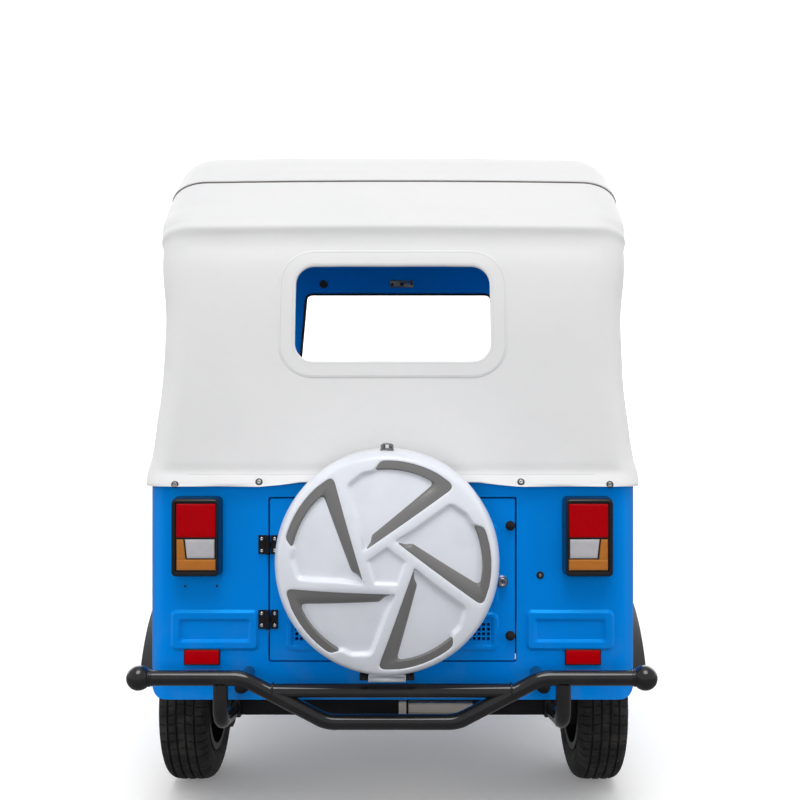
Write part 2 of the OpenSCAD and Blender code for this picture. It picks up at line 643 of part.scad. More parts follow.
// Hooks that run down from the tube and forward to the rails' ends, and buffers against the tail panel
hook_x = rail_x + 10;
hook_z = rail_z0 + rail_h / 2;
hook_d = 26;
hook_r = 42;
flange_t = 8;
stub_x = 366;
stub_d = 32;
function bumper_point(i, s) = [s * bumper_rows[i][0], bumper_y, bumper_rows[i][1]];
module rear_bumper() color("black") {
    tube_path(concat([for (i = [0:2]) bumper_point(i, -1)], [for (i = [2:-1:0]) bumper_point(i, 1)]),
              bumper_d, bumper_r);
    slope = (bumper_rows[1][0] - bumper_rows[2][0]) / (bumper_z - bumper_low_z);
    bar_end = bumper_rows[2][0] + (bumper_bar_z - bumper_low_z) * slope;
    bar([-bar_end, bumper_y, bumper_bar_z], [bar_end, bumper_y, bumper_bar_z], bumper_d - 4);
    both() {
        translate(bumper_point(0, 1)) sphere(d = ball_d);
        tube_path([[hook_x, bumper_y, bumper_z - 8], [hook_x, bumper_y, hook_z],
                   [rail_x, tail_wall - flange_t / 2, hook_z]], hook_d, hook_r);
        translate([rail_x - rail_w / 2, tail_wall - flange_t, rail_z0 + 2])
            cube([rail_w, flange_t, tub_z - rail_z0 - 6]);
        translate([stub_x, -seat_gap, bumper_z - 12]) rotate([90, 0, 0]) cylinder(h = -bumper_y, d = stub_d);
    }
}

// Drive line and rear suspension

// Engine's crankcase, sump and cylinder head, and the carrier across the frame rails
// columns: low corner, size
engine_blocks = [
    [[-150, 160, 300], [380, 400, 250]],
    [[20, 190, 246], [200, 300, 60]],
    [[-110, 240, 540], [200, 220, 50]],
    [[seat_gap + rail_w / 2 - rail_x, 330, 312], [2 * rail_x - rail_w - 2 * seat_gap, 44, 28]]
];
module engine() color("lightgray") for (b = engine_blocks) translate(b[0]) cube(b[1]);
engine_x = engine_blocks[0][0][0] + engine_blocks[0][1][0] + 2;
engine_y1 = engine_blocks[0][0][1] + engine_blocks[0][1][1];
shaft_r = 13;
boot_l = 60;
module half_shafts() color("dimgray") both() {
    on_axle(engine_x, tail_to_axle, axle_z) cylinder(h = arm_x0 - engine_x - seat_gap, r = shaft_r);
    on_axle(engine_x, tail_to_axle, axle_z) cylinder(h = boot_l, r1 = 40, r2 = 24);
    on_axle(arm_x0 - boot_l, tail_to_axle, axle_z) cylinder(h = boot_l - seat_gap, r1 = 24, r2 = 34);
}
arm_h = 36;
plate_r = 104;
module trailing_arms() color("black") both() {
    axle = [tail_to_axle, axle_z];
    side_extrude(arm_x0, arm_x1) polygon([
        axle + [-44, arm_h], axle + [-44, -arm_h], axle + [60, -arm_h],
        arm_pivot + [22, -22], arm_pivot + [22, 22], axle + [210, arm_h]]);
    // Pivot pin, brake plate and stub axle
    on_axle(pin_x, arm_pivot[0], arm_pivot[1]) cylinder(h = arm_x0 + 4 - pin_x, r = pivot_r);
    on_axle(arm_x1 - 1, tail_to_axle, axle_z) cylinder(h = 13, r = plate_r);
    on_axle(arm_x1, tail_to_axle, axle_z) cylinder(h = wheel_x + 10 - arm_x1, r = stub_r);
}
// Dampers: rod, spring seats and coils
coil_n = 9;
coil_r = 23;
wire_d = 10;
seat_d = 58;
seat_h = 10;
module rear_dampers() color("black") both() {
    foot = [(arm_x0 + arm_x1) / 2, tail_to_axle + 160, axle_z + arm_h + seat_gap];
    tall = seat_z - sheet - seat_gap - foot[2];
    low = 26;
    high = tall - 40;
    pitch = (high - low - seat_h) / coil_n;
    translate(foot) {
        cylinder(h = tall, d = 24);
        for (z = [low, high]) translate([0, 0, z]) cylinder(h = seat_h, d = seat_d);
        for (i = [0:coil_n - 1]) translate([0, 0, low + seat_h + (i + 0.5) * pitch]) {
            rotate_extrude() translate([coil_r, 0]) circle(d = wire_d);
            translate([-coil_r, -3, -3]) cube([2 * coil_r, 6, 6]);
        }
    }
}
// Silencer: its middle in (y, z), length, left end and diameters
silencer_mid = [800, 272];
silencer_x = -330;
silencer_l = 420;
silencer_d = 110;
pipe_x = -140;
pipe_d = 34;
module silencer() color("dimgray") {
    y0 = engine_y1 + seat_gap;
    hanger_y = cross_y[1] + cross_w / 2 + seat_gap;
    on_axle(silencer_x, silencer_mid[0], silencer_mid[1]) cylinder(h = silencer_l, d = silencer_d);
    translate([pipe_x, y0, silencer_mid[1]]) rotate([-90, 0, 0])
        cylinder(h = silencer_mid[0] - y0, d = pipe_d);
    // Pipe's flange on the crankcase, and the hanger on the cross member
    translate([pipe_x - 10, y0, silencer_mid[1] - 20]) cube([60, 12, 70]);
    translate([pipe_x - 80, hanger_y, silencer_mid[1] + 26]) cube([40, 60, 20]);
}

module mirrors() color("black") both() on_screen() {
    up = 190;
    x0 = screen_half_w(up - 8) + seat_gap;
    translate([x0, up, screen_t / 2]) rotate([0, 90, 0]) cylinder(h = 60, d = 16);
    bar([x0 + 52, up, screen_t / 2], [x0 + 96, up + 40, screen_t / 2], 14);
    translate([x0 + 96, up + 40, screen_t / 2 - 9]) rotate([-screen_tilt, 0, 0]) linear_extrude(20)
        polygon(round_rect(96, 140, 20));
}

// Front fork, handlebar and mudguard

leg_d = 42;
front_axle_r = 10;
module front_fork() color("black") {
    along_axis(crown_s) cylinder(h = clamp_s - crown_s, d = column_d);
    // Crown
    along_axis(crown_s) translate([-fork_leg_x - 26, -30, 0])
        cube([2 * fork_leg_x + 52, fork_offset + 60, crown_h]);
    both() {
        translate([fork_leg_x, 0, 0]) translate(axis_foot + fork_offset * axis_out) rotate([rake, 0, 0]) {
            translate([0, 0, -30]) cylinder(h = crown_s + 40, d = leg_d);
            translate([0, 0, -34]) cylinder(h = 190, d = 48);
        }
    }
    on_axle(-fork_leg_x, front_y, axle_z) cylinder(h = 2 * fork_leg_x, r = front_axle_r);
}
bar_half = 290;
bar_back = 110;
bar_rise = 16;
// Point of the handlebar: x across, b back and r up from the middle of its clamp
function bar_point(x, b, r) = on_axis(clamp_s + clamp_h / 2) + [x, -b, r];
module handlebar() color("black") {
    along_axis(clamp_s + seat_gap) cylinder(h = clamp_h - seat_gap, d = column_d + 8);
    tube_path([bar_point(-bar_half, bar_back, bar_rise), bar_point(-170, bar_back - 25, bar_rise),
               bar_point(-70, 0, 0), bar_point(70, 0, 0),
               bar_point(170, bar_back - 25, bar_rise), bar_point(bar_half, bar_back, bar_rise)], bar_d, 46);
}
module handle_grips() color("black") both() {
    c = on_axis(clamp_s + clamp_h / 2);
    a = c + [170, 25 - bar_back, bar_rise];
    b = c + [bar_half, -bar_back, bar_rise];
    from = a + (b - a) * 0.2;
    difference() {
        bar(from, b + (b - a) * 0.02, 33);
        bar(a, b + (b - a) * 0.02 - unit(b - a) * 2, bar_d + 2 * turn_gap);
    }
}
// Mudguard: half width inside, radius of its round, angle it covers and how far its edges hang down
guard_half = 80;
guard_round = 22;
guard_angle = 158;
guard_skirt = 4;
// Points across the mudguard, its wall's thickness out from the inside
function guard_line(wall) = let(a1 = 80) [for (a = [a1:-20:-a1])
    [mudguard_r - guard_round + (guard_round + wall) * cos(a), (guard_half + wall) * sin(a) / sin(a1)]];
module front_mudguard() color("dodgerblue") {
    edge_r = mudguard_r - guard_round - guard_skirt;
    on_axle(0, front_y, axle_z) rotate([0, 0, mudguard_start])
        rotate_extrude(angle = guard_angle) polygon(concat(
        [[edge_r, guard_half + mudguard_t], [edge_r, guard_half]], guard_line(0),
        [[edge_r, -guard_half], [edge_r, -guard_half - mudguard_t]], reverse(guard_line(mudguard_t))));
    // Stays to the fork legs
    stay_x = guard_half + 2;
    both() translate(axis_foot + fork_offset * axis_out) rotate([rake, 0, 0])
        translate([stay_x, -12, mudguard_r - 24]) cube([fork_leg_x - leg_d / 2 - stay_x - seat_gap, 24, 16]);
}

// Wheels: the axle's middle is the local origin and the axle lies along local Z

module tyre() {
    half = tyre_w / 2;
    bead = 52;
    shoulder = 24;
    rotate_extrude() polygon(concat(
        [[rim_d / 2 + seat_gap, bead], [rim_d / 2 + 24, bead + 2]],
        [for (a = [-30:15:60]) [rim_d / 2 + 48 + 34 * sin(a), half - 12 + 12 * cos(a)]],
        arc([tyre_r - shoulder, half - 8 - shoulder], shoulder, 70, 20, 4),
        [[tyre_r, half - 34], [tyre_r, 34 - half]],
        arc([tyre_r - shoulder, 8 + shoulder - half], shoulder, -20, -70, 4),
        [for (a = [60:-15:-30]) [rim_d / 2 + 48 + 34 * sin(a), 12 - half - 12 * cos(a)]],
        [[rim_d / 2 + 24, -bead - 2], [rim_d / 2 + seat_gap, -bead]]));
}
// Steel rim: barrel, disc, hub with its bore, and a brake drum on the inner side
module rim(bore_r, drum) difference() {
    r = rim_d / 2;
    union() {
        rotate_extrude() polygon([
            [r + 14, 62], [r + 14, 58], [r, 54], [r, 20], [r - 20, 12], [r - 20, -12], [r, -20], [r, -54],
            [r + 14, -58], [r + 14, -62], [r - 5, -62], [r - 5, -24], [r - 25, -14], [r - 25, 14],
            [r - 5, 24], [r - 5, 62]]);
        rotate_extrude() polygon([
            [r - 24, -10], [r - 24, 0], [110, 18], [78, 22], [64, 22],
            [64, 16], [76, 16], [108, 12], [r - 30, -10]]);
        rotate_extrude() polygon([
            [bore_r, -26], [bore_r, 40], [34, 40], [36, 22], [70, 22], [70, 16], [36, 14], [36, -26]]);
        if (drum) rotate_extrude() polygon([
            [30, -20], [30, -8], [92, -8], [96, -16], [96, -70], [88, -70], [88, -20]]);
    }
    for (a = [45:90:315]) rotate([0, 0, a]) translate([92, 0, -5]) cylinder(h = 40, r = 13);
    for (a = [0:90:270]) rotate([0, 0, a]) translate([52, 0, -5]) cylinder(h = 40, r = 6);
}
module front_tyre() color("black") on_axle(0, front_y, axle_z) tyre();
module front_rim() color("silver") on_axle(0, front_y, axle_z) rim(front_axle_r + turn_gap, false);
module rear_left_tyre() color("black") on_axle(-wheel_x, tail_to_axle, axle_z) tyre();
module rear_left_rim() color("silver") mirror([1, 0, 0])
    on_axle(wheel_x, tail_to_axle, axle_z) rim(stub_r + turn_gap, true);
module rear_right_tyre() color("black") on_axle(wheel_x, tail_to_axle, axle_z) tyre();
module rear_right_rim() color("silver") on_axle(wheel_x, tail_to_axle, axle_z) rim(stub_r + turn_gap, true);

// Engine lid with the spare wheel

// Heights of the two hinges' middles, and the size of a hinge
hinge_z = [550, 740];
hinge_w = 50;
hinge_h = 48;
leaf_t = 4;
knuckle = hinge_h / 3;
module hinge_leaf(x0, x1, z)
    translate([x0, -leaf_t - seat_gap, z - hinge_h / 2]) cube([x1 - x0, leaf_t, hinge_h]);
pin_r = 2.5;
module knuckle_barrel(z0, h, side) translate([lid_x0, 0, z0]) {
    translate([0, hinge_y, 0]) cylinder(h = h, r = hinge_r);
    translate([side > 0 ? 0 : -hinge_r - 2, -leaf_t - seat_gap, 0]) cube([hinge_r + 2, leaf_t, h]);
}
module hinge_leaves() color("black") for (z = hinge_z) {
    hinge_leaf(lid_x0 - hinge_w / 2, lid_x0 - hinge_r - 1, z);
    knuckle_barrel(z - hinge_h / 2, knuckle, -1);
    knuckle_barrel(z + knuckle / 2, knuckle, -1);
    translate([lid_x0, hinge_y, z - hinge_h / 2]) cylinder(h = hinge_h, r = pin_r);
}
module lid_hardware() color("black") {
    for (z = hinge_z) difference() {
        union() {
            hinge_leaf(lid_x0 + hinge_r + 1, lid_x0 + hinge_w / 2, z);
            knuckle_barrel(z - knuckle / 2 + turn_gap, knuckle - 2 * turn_gap, 1);
        }
        translate([lid_x0, hinge_y, z - hinge_h]) cylinder(h = 2 * hinge_h, r = pin_r + turn_gap);
    }
    // Lock barrel and rubber stops on the free side
    translate([lock[0], -seat_gap, lock[1]]) rotate([90, 0, 0]) cylinder(h = 14, r = 11);
    for (z = stop_z) translate([stop_x, -seat_gap, z]) rotate([90, 0, 0]) cylinder(h = 12, r = 10);
}
lock = [279, 646];
stop_x = 300;
stop_z = [508, 788];

// Perforated grilles: middle of the right-hand one, rows and columns either side of it, pitch and hole
grille_mid = [196, 518];
grille_pitch = 12;
grille_hole = 8;
grille_i = 5;
grille_k = 1.5;
// Pressed frames of the lid
// columns: height of the middle, width, height
lid_frames = [[690, 532, 200], [518, 532, 90]];
swage_w = 8;
swage_h = 2.5;
module engine_lid() color("dodgerblue") difference() {
    union() {
        translate([0, 0, lid_z0 + lid_h / 2]) rear_extrude(0, lid_t)
            polygon(round_rect(lid_w - 2 * lid_gap, lid_h - 2 * lid_gap, 5));
        for (f = lid_frames) translate([0, 0, f[0]]) rear_extrude(-swage_h, 1) difference() {
            polygon(round_rect(f[1], f[2], 14));
            polygon(round_rect(f[1] - 2 * swage_w, f[2] - 2 * swage_w, 8));
        }
    }
    both() for (i = [-grille_i:grille_i], k = [-grille_k:grille_k])
        translate([grille_mid[0] + i * grille_pitch, lid_t / 2, grille_mid[1] + k * grille_pitch])
            cube([grille_hole, lid_t + 10, grille_hole], center = true);
}
module at_spare(y) translate([spare_x, y, spare_z]) rotate([90, 0, 0]) children();
tyre_mid = -spare_gap - tyre_w / 2;
stud_r = 19;
// Carrier: plate on the lid, post up to the rim, and stud through the rim up to the cover
module spare_carrier() color("black") {
    hub_y = tyre_mid + 26 + seat_gap;
    at_spare(-seat_gap) cylinder(h = 6, r = 62);
    at_spare(-4) cylinder(h = -4 - hub_y, r = 32);
    at_spare(hub_y + 1) cylinder(h = apex_h - rib_h - cover_wall - seat_gap + hub_y + 1, r = stud_r);
}
module spare_tyre() color("black") at_spare(tyre_mid) tyre();
module spare_rim() color("silver") at_spare(tyre_mid) rim(stud_r + turn_gap, false);

// Five-bladed domed cover, built up from the lid's face
blade_n = 5;
blade_step = 360 / blade_n;
blade_turn = 34.5;
ring_r = cover_r - 22;
dome_drop = 38;
dome_flat = 40;
// Height of the ribs' tops at a radius
function dome_h(r) = apex_h - dome_drop * pow(max(0, r - dome_flat) / (ring_r - dome_flat), 2);
function dome_line(r1, drop) = [for (r = [0, each [dome_flat:30:r1 - 10], r1]) [r, dome_h(r) - drop]];
// Round of the rim, from the ring to the back edge
// columns: outward from the ring, down from it
edge_rows = [[8, 7], [15, 20], [20, 40], [22, 66], [22, 140]];
// Ribs: distance of their two edges from the middle
rib_in = 41.5;
rib_out = 60;
// Pockets: radius beside the blades and past them, angles of the blade's slanted end and of the cut corner
pocket_r = ring_r - 1;
shelf_r = 231;
blade_end = [58.8, 63.7];
corner = [70.4, 83.1];
corner_r = 216;
module each_blade() for (k = [0:blade_n - 1]) rotate([0, 0, blade_turn + k * blade_step]) children();
module pocket() polygon(concat(
    [[(rib_out * cos(blade_step) - rib_in) / sin(blade_step), rib_out]],
    arc([0, 0], pocket_r, asin(rib_out / pocket_r), blade_end[0]),
    arc([0, 0], shelf_r, blade_end[1], corner[0], 2), [polar(corner_r, corner[1])]));
module pentagon() polygon([for (k = [0:blade_n - 1])
    polar(rib_in / cos(blade_step / 2), blade_turn + 90 + (k + 0.5) * blade_step)]);
module spare_cover() color("white") at_spare(0) {
    top = dome_h(ring_r);
    inside = cover_r - cover_wall;
    difference() {
        rotate_extrude() polygon(concat(
            dome_line(ring_r, 0), [for (e = edge_rows) [ring_r + e[0], top - e[1]]],
            [[inside, top - edge_rows[4][1]], [inside, top - 70], [inside - 3, top - 45]],
            reverse(dome_line(ring_r - 4, rib_h + cover_wall))));
        intersection() {
            linear_extrude(2 * apex_h) {
                each_blade() pocket();
                pentagon();
            }
            rotate_extrude()
                polygon(concat(dome_line(ring_r + 2, rib_h), [[ring_r + 2, 2 * apex_h], [0, 2 * apex_h]]));
        }
    }
    // Latch at the top and plate bracket at the bottom
    translate([-9, cover_r - 6, top - 62]) cube([18, 12, 26]);
    translate([-44, -cover_r - 12, top - 92]) cube([88, 18, 30]);
}
// Grey blades: a straight leg beside each rib and an arc leg round the rim
blade_low = 3;
leg_inner = [[14.6, 81.3], [3, 70], [-12, 64]];
module blade() polygon(concat(
    [[-17, rib_out + seat_gap]],
    arc([0, 0], pocket_r - seat_gap, asin((rib_out + seat_gap) / (pocket_r - seat_gap)), blade_end[0] - 0.1),
    arc([0, 0], shelf_r - 4, blade_end[1] - 0.8, 25), leg_inner));
module cover_blades() color("gray") at_spare(0) intersection() {
    linear_extrude(2 * apex_h) each_blade() blade();
    rotate_extrude() polygon(concat(
        dome_line(ring_r + 1, rib_h - seat_gap), reverse(dome_line(ring_r + 1, blade_low))));
}

place() chassis_frame();
place() floor_pan();
place() tail_panel();
place() side_panel_left();
place() side_panel_right();
place() seat_box();
place() arch_flares();
place() front_cowl();
place() windscreen_frame();
place() windscreen();
place() dashboard();
place() hood_canopy();
place() hood_bows();
place() rear_window();
place() driver_seat();
place() driver_seat_base();
place() passenger_seat();
place() passenger_backrest();
place() partition_rail();
place() tail_lamp_housings();
place() red_lenses();
place() amber_lenses();
place() clear_lenses();
place() rear_bumper();
place() hinge_leaves();
place() engine();
place() half_shafts();
place() trailing_arms();
place() rear_dampers();
place() silencer();
place() headlamp_bezel();
place() mirrors();
place() front_fork();
place() handlebar();
place() handle_grips();
place() front_mudguard();
place() front_tyre();
place() front_rim();
place() rear_left_tyre();
place() rear_left_rim();
place() rear_right_tyre();
place() rear_right_rim();
place() engine_lid();
place() lid_hardware();
place() spare_carrier();
place() spare_tyre();
place() spare_rim();
place() spare_cover();
place() cover_blades();
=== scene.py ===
"""Looks of the auto rickshaw: materials for the solids, and modelled canvas, tread, lenses and small parts.

Lengths are millimetres from the tail panel's outer face (y), the middle plane (x) and the ground (z);
spot() turns them into the scene's metres.
"""
import json
import math

import bmesh
import bpy
from mathutils import Matrix, Vector, bvhtree, geometry, noise


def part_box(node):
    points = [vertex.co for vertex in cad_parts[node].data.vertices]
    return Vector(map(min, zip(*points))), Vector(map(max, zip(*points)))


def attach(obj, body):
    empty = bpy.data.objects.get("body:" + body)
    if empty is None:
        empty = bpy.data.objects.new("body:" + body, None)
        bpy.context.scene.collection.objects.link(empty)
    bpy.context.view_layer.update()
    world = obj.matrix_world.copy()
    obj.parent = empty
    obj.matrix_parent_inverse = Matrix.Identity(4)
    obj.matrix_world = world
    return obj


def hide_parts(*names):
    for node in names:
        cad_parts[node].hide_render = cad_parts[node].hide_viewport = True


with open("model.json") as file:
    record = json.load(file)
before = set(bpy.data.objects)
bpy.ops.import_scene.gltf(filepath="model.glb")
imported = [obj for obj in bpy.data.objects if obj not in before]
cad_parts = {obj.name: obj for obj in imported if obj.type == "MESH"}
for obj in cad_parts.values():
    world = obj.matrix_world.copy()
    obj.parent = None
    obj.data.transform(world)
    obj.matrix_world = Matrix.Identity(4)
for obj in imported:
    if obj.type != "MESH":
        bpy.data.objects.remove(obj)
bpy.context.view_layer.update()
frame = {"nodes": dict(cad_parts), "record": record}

MM = 0.001
# Points closer than this are one point
MERGE = 0.02 * MM
# Edges that turn by more degrees than this stay sharp
SHARP = 35
TAIL_RETURN = 75
TAIL_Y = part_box("tail_panel")[1][1] - TAIL_RETURN * MM


def spot(x, y, z):
    return Vector((x * MM, TAIL_Y + y * MM, z * MM))


def lerp(a, b, f):
    return a + (b - a) * f


def smooth_step(a, b, v):
    f = min(1.0, max(0.0, (v - a) / (b - a)))
    return f * f * (3 - 2 * f)


def round_rect(w, h, r, n=8):
    """Points and outward directions round a rectangle with round corners, counter-clockwise."""
    loop = []
    for cx, cz, start in ((1, 1, 0), (-1, 1, 90), (-1, -1, 180), (1, -1, 270)):
        for i in range(n + 1):
            a = math.radians(start + 90 * i / n)
            out = (math.cos(a), math.sin(a))
            loop.append((cx * (w / 2 - r) + r * out[0], cz * (h / 2 - r) + r * out[1], out[0], out[1]))
    return loop


def rect_rows(size, profile, corner, n, place):
    """Rows round a rectangle for a profile of (growth, height) pairs; corner gives the radius at a growth."""
    return [[place(x, z, h) for x, z, _, _ in round_rect(size[0] + 2 * grow, size[1] + 2 * grow, corner(grow), n)]
            for grow, h in profile]


def turn_angles(n):
    return [2 * math.pi * j / n for j in range(n)]


def axis_frame(axis):
    """An axis's unit vector, and two across it."""
    axis = Vector(axis).normalized()
    side = axis.orthogonal().normalized()
    return axis, side, axis.cross(side)


def resample(points, step):
    """Points a step apart along a polyline."""
    out = [points[0].copy()]
    need = step
    for a, b in zip(points, points[1:]):
        span = (b - a).length
        gone = 0.0
        while span - gone >= need:
            gone += need
            out.append(a.lerp(b, gone / span))
            need = step
        need -= span - gone
    return out


def new_object(name, points, faces, material=None):
    mesh = bpy.data.meshes.new(name)
    mesh.from_pydata([tuple(p) for p in points], [], faces)
    if material:
        mesh.materials.append(material)
    made = bpy.data.objects.new(name, mesh)
    bpy.context.scene.collection.objects.link(made)
    return made


def shade(piece, smooth=True):
    for polygon in piece.data.polygons:
        polygon.use_smooth = smooth


class Shape:
    """Collects the points and faces of one piece."""

    def __init__(self):
        self.points = []
        self.faces = []

    def grid(self, rows, ring=False, loop=False):
        """Quads over rows of points; ring closes each row on itself, loop closes the last row on the first."""
        base = len(self.points)
        n = len(rows[0])
        for row in rows:
            self.points.extend(row)
        for i in range(len(rows) if loop else len(rows) - 1):
            k = (i + 1) % len(rows)
            for j in range(n if ring else n - 1):
                m = (j + 1) % n
                self.faces.append((base + i * n + j, base + k * n + j, base + k * n + m, base + i * n + m))
        return base

    def cap(self, base, n, flip=False):
        ring = list(range(base, base + n))
        self.faces.append(tuple(reversed(ring)) if flip else tuple(ring))

    def closed_rings(self, rows):
        """Rings of points, with a face over the first and the last."""
        base = self.grid(rows, ring=True)
        n = len(rows[0])
        self.cap(base, n, flip=True)
        self.cap(base + (len(rows) - 1) * n, n)

    def tube(self, path, r, sides, closed=False):
        """Round tube along a path."""
        side = None
        rows = []
        count = len(path)
        for i, p in enumerate(path):
            ahead = path[(i + 1) % count] if closed or i + 1 < count else p
            back = path[i - 1] if closed or i > 0 else p
            along = (ahead - back).normalized()
            if side is None:
                side = along.orthogonal().normalized()
            side = (side - along * side.dot(along)).normalized()
            up = along.cross(side)
            rows.append([p + (side * math.cos(a) + up * math.sin(a)) * r for a in turn_angles(sides)])
        base = self.grid([list(reversed(row)) for row in rows], ring=True, loop=closed)
        if not closed:
            self.cap(base, sides)
            self.cap(base + (count - 1) * sides, sides, flip=True)

    def lathe(self, centre, axis, profile, steps):
        """Profile of (radius, height) pairs turned about an axis."""
        axis, side, up = axis_frame(axis)
        self.closed_rings([[centre + axis * (h * MM) + (side * math.cos(a) + up * math.sin(a)) * (max(r, 0.01) * MM)
                            for a in turn_angles(steps)] for r, h in profile])

    def stitches(self, path, normal, pitch=7.0, length=4.6, width=1.5, rise=0.9):
        """Thread stitches along a path; normal gives the cloth's outward side at a point."""
        marks = resample(path, pitch * MM)
        for a, b in zip(marks, marks[1:]):
            along = (b - a).normalized()
            out = normal(a)
            across = along.cross(out).normalized()
            base = len(self.points)
            for f, k in ((0, 0.25), (0.2, 1), (0.8, 1), (1, 0.25)):
                p = a + along * (f * length * MM)
                self.points.extend([p - across * (width / 2 * k * MM), p + out * (rise * k * MM),
                                    p + across * (width / 2 * k * MM)])
            for i in range(3):
                q = base + 3 * i
                self.faces.append((q, q + 3, q + 4, q + 1))
                self.faces.append((q + 1, q + 4, q + 5, q + 2))

    def make(self, name, look, body="chassis", slot="", smooth=True, replaces=(), tidy=False, sharp=0):
        """The piece on its body; look names its material. The slot argument is not used."""
        piece = new_object(name, self.points, self.faces, looks[look])
        piece.data.validate()
        piece.data.update()
        shade(piece, smooth)
        slot = slot or look
        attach(piece, body)
        if replaces:
            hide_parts(*replaces)
        if tidy:
            tidy_mesh(piece)
        if sharp:
            keep_edges(piece, sharp)
        return piece


def keep_edges(piece, degrees):
    """Smooth shading that keeps edges sharper than the angle."""
    piece.data.set_sharp_from_angle(angle=math.radians(degrees))


def tidy_mesh(piece):
    """Joins points that coincide and turns all faces outward."""
    mesh = bmesh.new()
    mesh.from_mesh(piece.data)
    bmesh.ops.remove_doubles(mesh, verts=mesh.verts, dist=MERGE)
    bmesh.ops.recalc_face_normals(mesh, faces=mesh.faces)
    mesh.to_mesh(piece.data)
    mesh.free()


def round_edges(piece, width):
    bevel = piece.modifiers.new("round_edges", "BEVEL")
    bevel.width = width * MM
    bevel.segments = 2
    bevel.limit_method = "ANGLE"
    bevel.angle_limit = math.radians(SHARP)
    bevel.harden_normals = False
    bevel.use_clamp_overlap = True


# Materials

NOISE_ROUGH = 0.55


def scaled(colour, k):
    return tuple(c * k for c in colour)


class Look:
    """A material with helpers that add texture nodes to its principled shader."""

    def __init__(self, name, colour, rough, metallic=0.0, **sockets):
        self.material = bpy.data.materials.new(name)
        self.material.use_nodes = True
        self.tree = self.material.node_tree
        self.shader = self.tree.nodes["Principled BSDF"]
        self.coords = self.tree.nodes.new("ShaderNodeTexCoord").outputs["Object"]
        self.colour = colour
        self.set("Base Color", (*colour, 1))
        self.set("Roughness", rough)
        self.set("Metallic", metallic)
        for key, value in sockets.items():
            self.set(key.replace("_", " "), value)

    def set(self, socket, value):
        self.shader.inputs[socket].default_value = value

    def link(self, a, b):
        self.tree.links.new(a, b)

    def node(self, kind, **inputs):
        made = self.tree.nodes.new(kind)
        for key, value in inputs.items():
            if key in made.inputs:
                made.inputs[key].default_value = value
            else:
                setattr(made, key, value)
        return made

    def texture(self, kind, output, **settings):
        """A texture laid over the object's own coordinates."""
        made = self.node(kind, **settings)
        self.link(self.coords, made.inputs["Vector"])
        return made.outputs[output]

    def noise(self, scale, detail):
        return self.texture("ShaderNodeTexNoise", "Fac", Scale=scale, Detail=detail, Roughness=NOISE_ROUGH)

    def waves(self, direction, pitch_mm):
        return self.texture("ShaderNodeTexWave", "Fac", wave_type="BANDS", bands_direction=direction,
                            wave_profile="SIN", Scale=math.pi / (10 * pitch_mm * MM))

    def cells(self, scale):
        return self.texture("ShaderNodeTexVoronoi", "Distance", feature="F1", Scale=scale)

    def coordinate(self, axis):
        split = self.node("ShaderNodeSeparateXYZ")
        self.link(self.coords, split.inputs[0])
        return split.outputs[axis]

    def ramp(self, value, low, high):
        made = self.node("ShaderNodeMapRange", interpolation_type="SMOOTHSTEP")
        made.inputs["From Min"].default_value = low
        made.inputs["From Max"].default_value = high
        self.link(value, made.inputs["Value"])
        return made.outputs["Result"]

    def maths(self, operation, a, b):
        made = self.node("ShaderNodeMath", operation=operation)
        for socket, value in zip(made.inputs, (a, b)):
            if isinstance(value, (int, float)):
                socket.default_value = value
            else:
                self.link(value, socket)
        return made.outputs[0]

    def tint(self, mask, colour, amount):
        """Mixes a colour in where the mask is high."""
        mix = self.node("ShaderNodeMix", data_type="RGBA")
        self.link(self.maths("MULTIPLY", mask, amount), mix.inputs["Factor"])
        linked = self.shader.inputs["Base Color"].links
        if linked:
            self.link(linked[0].from_socket, mix.inputs["A"])
        else:
            mix.inputs["A"].default_value = (*self.colour, 1)
        mix.inputs["B"].default_value = (*colour, 1)
        self.link(mix.outputs["Result"], self.shader.inputs["Base Color"])

    def clouds(self, scale, detail, low, high, colour, amount):
        """Mixes a colour in where a noise rises from one level to another."""
        self.tint(self.ramp(self.noise(scale, detail), low, high), colour, amount)

    def vary_rough(self, mask, low, high):
        made = self.node("ShaderNodeMapRange")
        made.inputs["To Min"].default_value = low
        made.inputs["To Max"].default_value = high
        self.link(mask, made.inputs["Value"])
        self.link(made.outputs["Result"], self.shader.inputs["Roughness"])

    def bump(self, height, depth_mm, strength):
        made = self.node("ShaderNodeBump", Strength=strength, Distance=depth_mm * MM)
        self.link(height, made.inputs["Height"])
        linked = self.shader.inputs["Normal"].links
        if linked:
            self.link(linked[0].from_socket, made.inputs["Normal"])
        self.link(made.outputs["Normal"], self.shader.inputs["Normal"])

    def low_mask(self, top, bottom):
        """1 at the bottom height and 0 at the top height, in metres."""
        return self.ramp(self.coordinate("Z"), top, bottom)


def paint_look(name, colour, dust):
    look = Look(name, colour, 0.3, Specular_IOR_Level=0.8, Specular_Tint=(0.05, 0.65, 1.0, 1.0))
    look.clouds(3.2, 5, 0.35, 0.75, scaled(colour, 0.86), 0.55)
    look.clouds(900, 2, 0.62, 0.75, tuple(min(1, c * 1.25 + 0.02) for c in colour), 0.25)
    grime = look.maths("MULTIPLY", look.low_mask(0.62, 0.34), look.ramp(look.noise(14, 6), 0.42, 0.7))
    look.tint(grime, dust, 0.06)
    look.vary_rough(look.noise(7, 4), 0.16, 0.26)
    look.bump(look.noise(240, 1), 0.12, 0.35)
    return look.material


